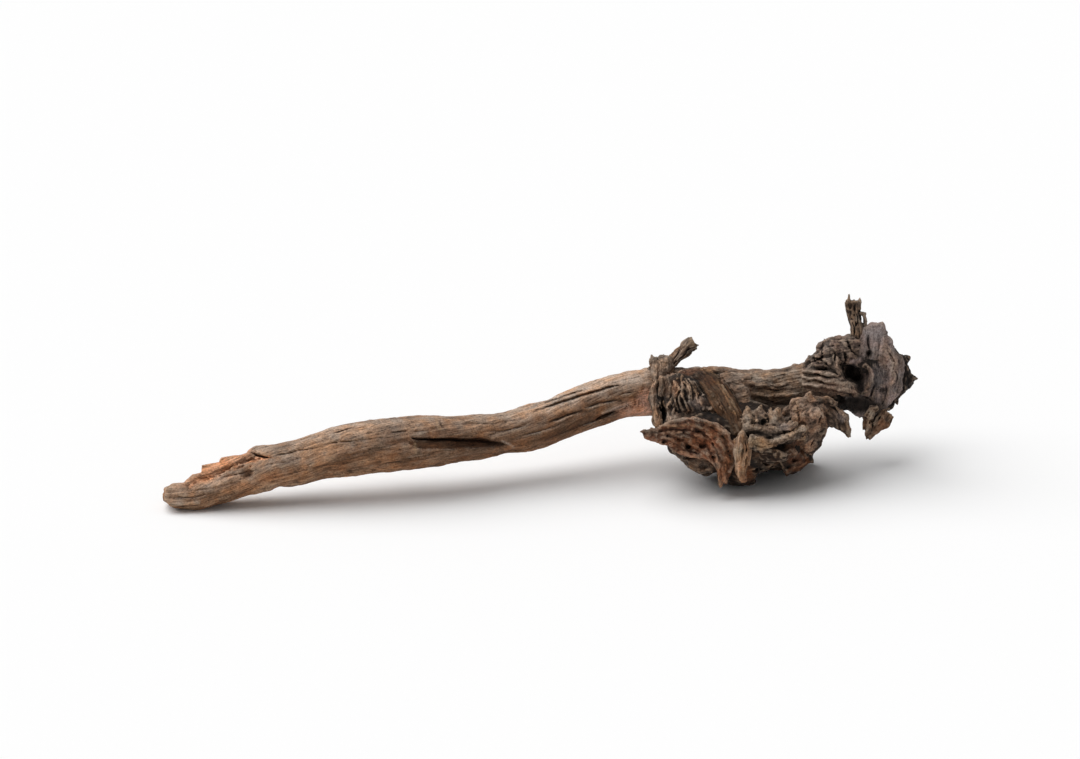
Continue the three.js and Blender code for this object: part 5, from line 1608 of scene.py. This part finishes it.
def carve_crown(wood, rib):
    """The cave and its lip, the small hole, and the gaps between the lumps."""
    wood.tube([(259, 95, 12, 2, 4), (264.6, 91, 9, 3, 6), (264.4, 82, 9, 3.4, 6), (260, 74, 12, 2, 4)], 1.6, rib,
              fluting=0.15, lumps=0.5, seed=8)
    wood.tube([(236, 104, 10, 4, 5), (237.6, 97, 6, 5.6, 6), (239.4, 89, 8, 3.4, 5)], 1.6, rib, fluting=0.18,
              lumps=0.8, seed=7)
    wood.balls(
        ((245, 78, 9), (7.5, 5, 6), 1.6, rib, 0.25, 8, 3, 0.3), ((253, 73.6, 11), (5, 4, 5), 1.6, rib, 0.25, 7, 5),
        ((251, 88.6, 5), (14, 7.4, 21), 0.8, None, 0.14, 12, 1, -0.66, True),
        ((256, 79, 7), (4, 7, 12), 1.4, None, 0.14, 9, 1, 0, True),
        ((262.6, 104.8, 10), (3.0, 2.8, 9), 0.8, None, 0.1, 40, 1, 0, True),
        ((229, 93.4, 6), (6, 1.8, 5), 1.2, None, 0.1, 40, 1, -0.1, True))
    for line, wide, deep in CROWN_CRACKS:
        wood.crack(line, wide, deep)
    wood.ball((266.6, 124.2, wood.front_at(266.6, 124.2)), (1.0, 0.9, 2), soft=0.5, carve=True)


def paint_root_crown(s, tones):
    s.paint(
        tones,
        # painted shade in the cave, the small hole, the gap and under the crown's low side; pale worn ridges carry
        # a painted highlight
        (0.97, "hollow", 2, 251, 88.6, 12.6, 6.4, -0.66), (0.9, "hollow", 3, 256, 79, 4, 7),
        (0.95, "hollow", 4, 262.6, 104.6, 3.0, 2.8), (0.5, "crown_grey", 5, 268, 118, 8, 10),
        (0.3, "knob_brown", 6, 278, 100, 7, 12, 0.2),
        (0.4, "ridge_pale", 7, [(276, 111), (281, 99), (283, 88)], 0.9),
        (0.5, "neck_light", 8, [(264.6, 91), (264.4, 83), (260, 75)], 1.2),
        (0.35, "ridge_pale", 9, [(236, 104), (237.6, 97), (239.4, 90)], 2.0),
        (0.35, "ridge_pale", 10, 246, 78, 7, 4), (0.97, "hollow", 11, 252, 64, 20, 7),
        (0.7, "crown_dark", 12, 268, 61, 13, 6), (0.35, "crown_grey", 15, 271, 88, 7, 10),
        (0.5, "crown_grey", 25, 265, 121, 8, 8),
        (0.6, "crown_dark", 17, [(284, 108), (288.6, 100), (289.6, 88), (286, 76)], 1.8, 1.6),
        (0.5, "hollow", 13, 226, 92.8, 9, 1.6))
    # pale worn tops of the tendons with a painted highlight
    for line in ([(208, 90.6), (222, 89.8), (236, 88)], [(208, 86), (224, 84.6), (241, 81)],
                 [(210, 81), (226, 79.8), (245, 76)]):
        s.tint(0.5 * s.line(line, 0.8, 0.8, seed=31), tones.ridge_pale)
    s.tint(0.3 * s.patch(252, 106, 7, 4, seed=14), tones.bark_light)
    # painted shade along the wider cracks
    for line in (*(line for line, wide, _ in CROWN_CRACKS if wide > 1.7), [(262, 120), (263, 106)]):
        s.tint(0.8 * s.line(line, 0.8, 0.8, seed=16), tones.hollow)


# Twig, prong and lower root
def build_twig_stub(sizes, tones):
    wood = Wood(*sight_box((88, 130), (88, 122), (12, 36)), sizes.stub_cube)
    form, path = limb(
        [(101, 92, 22, 9, 10), (106, 98.6, 23, 8.5, 9), (112, 105, 24, 8.5, 8), (118, 110.6, 25, 10, 9),
         (123.6, 113.4, 25, 9.5, 8)], fluting=0.12, lumps=0.6, seed=4)
    rod = wood.skin("twig", Grain(path, twist=0.03), tones)
    wood.add(form, skin=rod)
    wood.thorn((115, 110, 24), (121.6, 118.4, 24), 6.4, 6, soft=1.2, skin=rod)
    wood.thorn((101, 97, 21), (99.4, 104.4, 20), 7, 7, soft=1.5, skin=rod)
    wood.thorn((119, 110, 24), (126.6, 112.6, 24), 7, 6, soft=1.2, skin=rod)
    for line in ([(101, 94), (108, 102), (114, 107.4), (120, 112)],
                 [(103, 92.6), (110, 100), (117, 106), (124, 109.6)], [(104, 97), (109, 103.6), (114, 109.6)],
                 [(114, 108), (120, 113), (124, 116.4)]):
        wood.crack(line, 1.0, 2.2, 0.4)
    wood.roughen()
    surface = wood.surface(tones)
    surface.tint(0.4 * surface.patch(122, 114, 4, 4, seed=2), tones.wedge_tan)
    place_piece("twig_stub_wood", surface, "twig_stub",
                wood_finish("twig wood", sizes.grain_depth, streak=0.6))


def build_crown_prong(sizes, tones):
    wood = Wood(*sight_box((240, 270), (100, 156), (0, 34)), sizes.stub_cube)
    form, path = limb(
        [(254, 108, 21, 13, 14), (253.6, 118, 18, 10, 12), (252.6, 128, 15, 10, 10), (250.8, 139, 11, 11.5, 9),
         (251, 146.6, 8, 10.5, 7)], fluting=0.12, lumps=0.6, seed=3)
    split = wood.skin("prong", Grain(path), tones)
    wood.add(form, skin=split)
    wood.thorn((247.6, 141, 9), (247.2, 152.6, 6.5), 6, 6, soft=1.0, skin=split)
    wood.thorn((254.4, 142, 9), (256.2, 149, 8), 6, 6, soft=1.0, skin=split)
    wood.thorn((251, 144, 9), (251.4, 148, 8), 4, 5, soft=1.0, skin=split)
    wood.plate([(256, 124), (256.5, 138), (260.6, 138), (261.4, 124), (259, 114), (255, 114)], 10, 7, soft=0.8,
               skin=split, lean_up=-0.3, ragged=0.25, bevel=1.0)
    wood.plate([(256.4, 128), (256.6, 135.8), (258.8, 135.8), (259.0, 128)], 2, 14, soft=0.4, ragged=0.15,
               bevel=0.8, carve=True)
    for line in ([(249, 150), (248.6, 138), (250.6, 124), (252, 112)], [(252, 146), (252, 134), (253, 120)],
                 [(254.6, 142), (254.6, 130), (255.4, 118)], [(247.4, 144), (248, 132)]):
        wood.crack(line, 0.9, 2.0, 0.4)
    wood.roughen()
    surface = wood.surface(tones)
    # painted shade in the carved slot between the prong's split halves
    surface.paint(tones, (0.85, "bark_dark", 3, 257.8, 131.6, 1.8, 4.6), (0.5, "crown_dark", 4, 256, 114, 7, 6))
    place_piece("crown_prong_wood", surface, "crown_prong",
                wood_finish("prong wood", sizes.grain_depth, streak=0.6))


def build_lower_root(sizes, tones):
    wood = Wood(*sight_box((252, 286), (34, 68), (12, 36)), sizes.stub_cube)
    form, path = limb([(276, 58, 24, 15, 15), (272, 52, 23, 16, 14), (266, 45, 23, 12, 12), (262, 38.6, 23, 5, 7)],
                      fluting=0.14, lumps=0.8, seed=5)
    stub = wood.skin("lower root", Grain(path), tones)
    wood.add(form, skin=stub)
    wood.tube([(263, 55, 18, 6, 7), (266, 60.6, 16, 7, 7), (270, 62.4, 16, 5, 6)], 2, stub, lumps=0.6, seed=6)
    wood.thorns(
        (((264, 50, 23), (257.4, 56, 22), 6), ((262, 50, 24), (257.2, 44.4, 24), 8),
         ((274, 54, 22), (281, 55.6, 22), 9), ((272, 58, 22), (279.4, 61, 22), 7),
         ((264, 42, 23), (260.8, 37.4, 23), 6), ((268, 58, 22), (265.6, 63.4, 22), 7)), 1.4, stub)
    wood.ridge([(261, 44), (262.4, 52), (266, 60)], 1.8, 1.8, skin=stub)
    wood.crack([(264.6, 42), (266.4, 52), (271, 60)], 1.1, 2.6)
    wood.crack([(270, 50), (274, 56)], 1.0, 2.2)
    wood.roughen()
    surface = wood.surface(tones)
    surface.paint(
        tones,
        # the ridge is worn pale with a painted highlight
        (0.6, "ridge_pale", 2, [(261, 43), (262.4, 52), (266, 60)], 1.0),
        (0.55, "fan_rust", 3, 273, 47, 6, 4, 0.7))
    place_piece("lower_root_wood", surface, "lower_root",
                wood_finish("root stub wood", sizes.grain_depth, streak=0.5, speck=0.4))


# Stage
FLOOR_HALF = 6.0


def build_stage(look):
    scene = bpy.context.scene
    scene.view_settings.view_transform = "Standard"
    data = bpy.data.meshes.new("floor")
    data.from_pydata([(x * FLOOR_HALF, y * FLOOR_HALF, 0) for x, y in ((-1, -1), (1, -1), (1, 1), (-1, 1))], [],
                     [(0, 1, 2, 3)])
    material = bpy.data.materials.new("pale floor")
    material.use_nodes = True
    shader = material.node_tree.nodes["Principled BSDF"]
    shader.inputs["Base Color"].default_value = (*look.floor_tone, 1)
    shader.inputs["Roughness"].default_value = 0.9
    shader.inputs["Specular IOR Level"].default_value = 0.0
    data.materials.append(material)
    set_out("floor", data)

    world = bpy.data.worlds.new("pale room")
    world.use_nodes = True
    background = world.node_tree.nodes["Background"]
    background.inputs["Color"].default_value = (1, 1, 1, 1)
    background.inputs["Strength"].default_value = look.sky_strength
    scene.world = world

    sun = bpy.data.lights.new("soft lamp", "SUN")
    sun.angle = look.lamp_size
    sun.energy = look.lamp_strength
    lamp = set_out("soft lamp", sun)
    lamp.location = (-1.2, 0.3, 1.8)
    lamp.rotation_euler = (math.radians(-11), math.radians(-32), 0)

    lens = bpy.data.cameras.new("camera")
    lens.lens = look.lens
    lens.sensor_width = 36
    lens.clip_end = 60
    scene.camera = set_out("camera", lens)
    target = ((0, 0, TARGET_UP) - WHOLE_MIDDLE) / 1000
    scene.camera.location = target - SIGHT_BACK * EYE_DISTANCE / 1000
    scene.camera.rotation_euler = (math.pi / 2 - SIGHT_DOWN, 0, 0)


class SINKERWOOD_OT_long_arm(Operator):
    """Carve the long arm with its splintered end, groove and cracks"""
    bl_idname = "sinker_wood.long_arm"
    bl_label = "Long arm"

    def execute(self, context):
        build_long_arm(context.scene.wood_sizes, context.scene.wood_tones)
        return {"FINISHED"}


class SINKERWOOD_OT_burl(Operator):
    """Carve the burl's main body with its belly, feet and buttress"""
    bl_idname = "sinker_wood.burl"
    bl_label = "Burl"

    def execute(self, context):
        build_burl(context.scene.wood_sizes, context.scene.wood_tones)
        return {"FINISHED"}


class SINKERWOOD_OT_bark(Operator):
    """Carve the burl's bark: smooth fan, wrinkled folds and the collar round the twig"""
    bl_idname = "sinker_wood.bark"
    bl_label = "Burl bark"

    def execute(self, context):
        build_bark(context.scene.wood_sizes, context.scene.wood_tones)
        return {"FINISHED"}


class SINKERWOOD_OT_ear_slab(Operator):
    """Carve the torn slab that curls over the burl's near side, and the pale wedge beside it"""
    bl_idname = "sinker_wood.ear_slab"
    bl_label = "Ear slab and wedge"

    def execute(self, context):
        build_ear_slab(context.scene.wood_sizes, context.scene.wood_tones)
        return {"FINISHED"}


class SINKERWOOD_OT_crags(Operator):
    """Carve the torn crags, the porous knob and the lobe on the burl's right"""
    bl_idname = "sinker_wood.crags"
    bl_label = "Crags and knob"

    def execute(self, context):
        build_crags(context.scene.wood_sizes, context.scene.wood_tones)
        return {"FINISHED"}


class SINKERWOOD_OT_neck(Operator):
    """Carve the fluted neck between burl and crown"""
    bl_idname = "sinker_wood.neck"
    bl_label = "Neck"

    def execute(self, context):
        build_neck(context.scene.wood_sizes, context.scene.wood_tones)
        return {"FINISHED"}


class SINKERWOOD_OT_root_crown(Operator):
    """Carve the craggy crown with its plate, cave, lumps and rear flange"""
    bl_idname = "sinker_wood.root_crown"
    bl_label = "Root crown"

    def execute(self, context):
        build_root_crown(context.scene.wood_sizes, context.scene.wood_tones)
        return {"FINISHED"}


class SINKERWOOD_OT_stubs(Operator):
    """Carve the broken twig, the crown's prong and the lower root"""
    bl_idname = "sinker_wood.stubs"
    bl_label = "Twig, prong and lower root"

    def execute(self, context):
        for build in (build_twig_stub, build_crown_prong, build_lower_root):
            build(context.scene.wood_sizes, context.scene.wood_tones)
        return {"FINISHED"}


class SINKERWOOD_OT_stage(Operator):
    """Set up the pale floor, the soft light and the camera"""
    bl_idname = "sinker_wood.stage"
    bl_label = "Stage"

    def execute(self, context):
        build_stage(context.scene.wood_stage)
        return {"FINISHED"}


PIECE_OPERATORS = (
    SINKERWOOD_OT_long_arm, SINKERWOOD_OT_burl, SINKERWOOD_OT_bark, SINKERWOOD_OT_ear_slab, SINKERWOOD_OT_crags,
    SINKERWOOD_OT_neck, SINKERWOOD_OT_root_crown, SINKERWOOD_OT_stubs, SINKERWOOD_OT_stage)


class SINKERWOOD_PT_panel(Panel):
    """Pieces, sizes and colours of the sinker wood"""
    bl_idname = "SINKERWOOD_PT_panel"
    bl_label = "Sinker wood"
    bl_space_type = "VIEW_3D"
    bl_region_type = "UI"
    bl_category = "Sinker wood"

    def draw(self, context):
        layout = self.layout
        for operator in PIECE_OPERATORS:
            layout.operator(operator.bl_idname)
        for group in (context.scene.wood_sizes, context.scene.wood_tones, context.scene.wood_stage):
            box = layout.box()
            for name in group.__annotations__:
                box.prop(group, name)


CLASSES = (WoodSizes, WoodTones, StageLook, *PIECE_OPERATORS, SINKERWOOD_PT_panel)


def register():
    for cls in CLASSES:
        bpy.utils.register_class(cls)
    bpy.types.Scene.wood_sizes = PointerProperty(type=WoodSizes)
    bpy.types.Scene.wood_tones = PointerProperty(type=WoodTones)
    bpy.types.Scene.wood_stage = PointerProperty(type=StageLook)


def unregister():
    del bpy.types.Scene.wood_stage
    del bpy.types.Scene.wood_tones
    del bpy.types.Scene.wood_sizes
    for cls in reversed(CLASSES):
        bpy.utils.unregister_class(cls)


def main():
    register()
    for operator in PIECE_OPERATORS:
        group, name = operator.bl_idname.split(".")
        getattr(getattr(bpy.ops, group), name)()


if __name__ == "__main__":
    main()
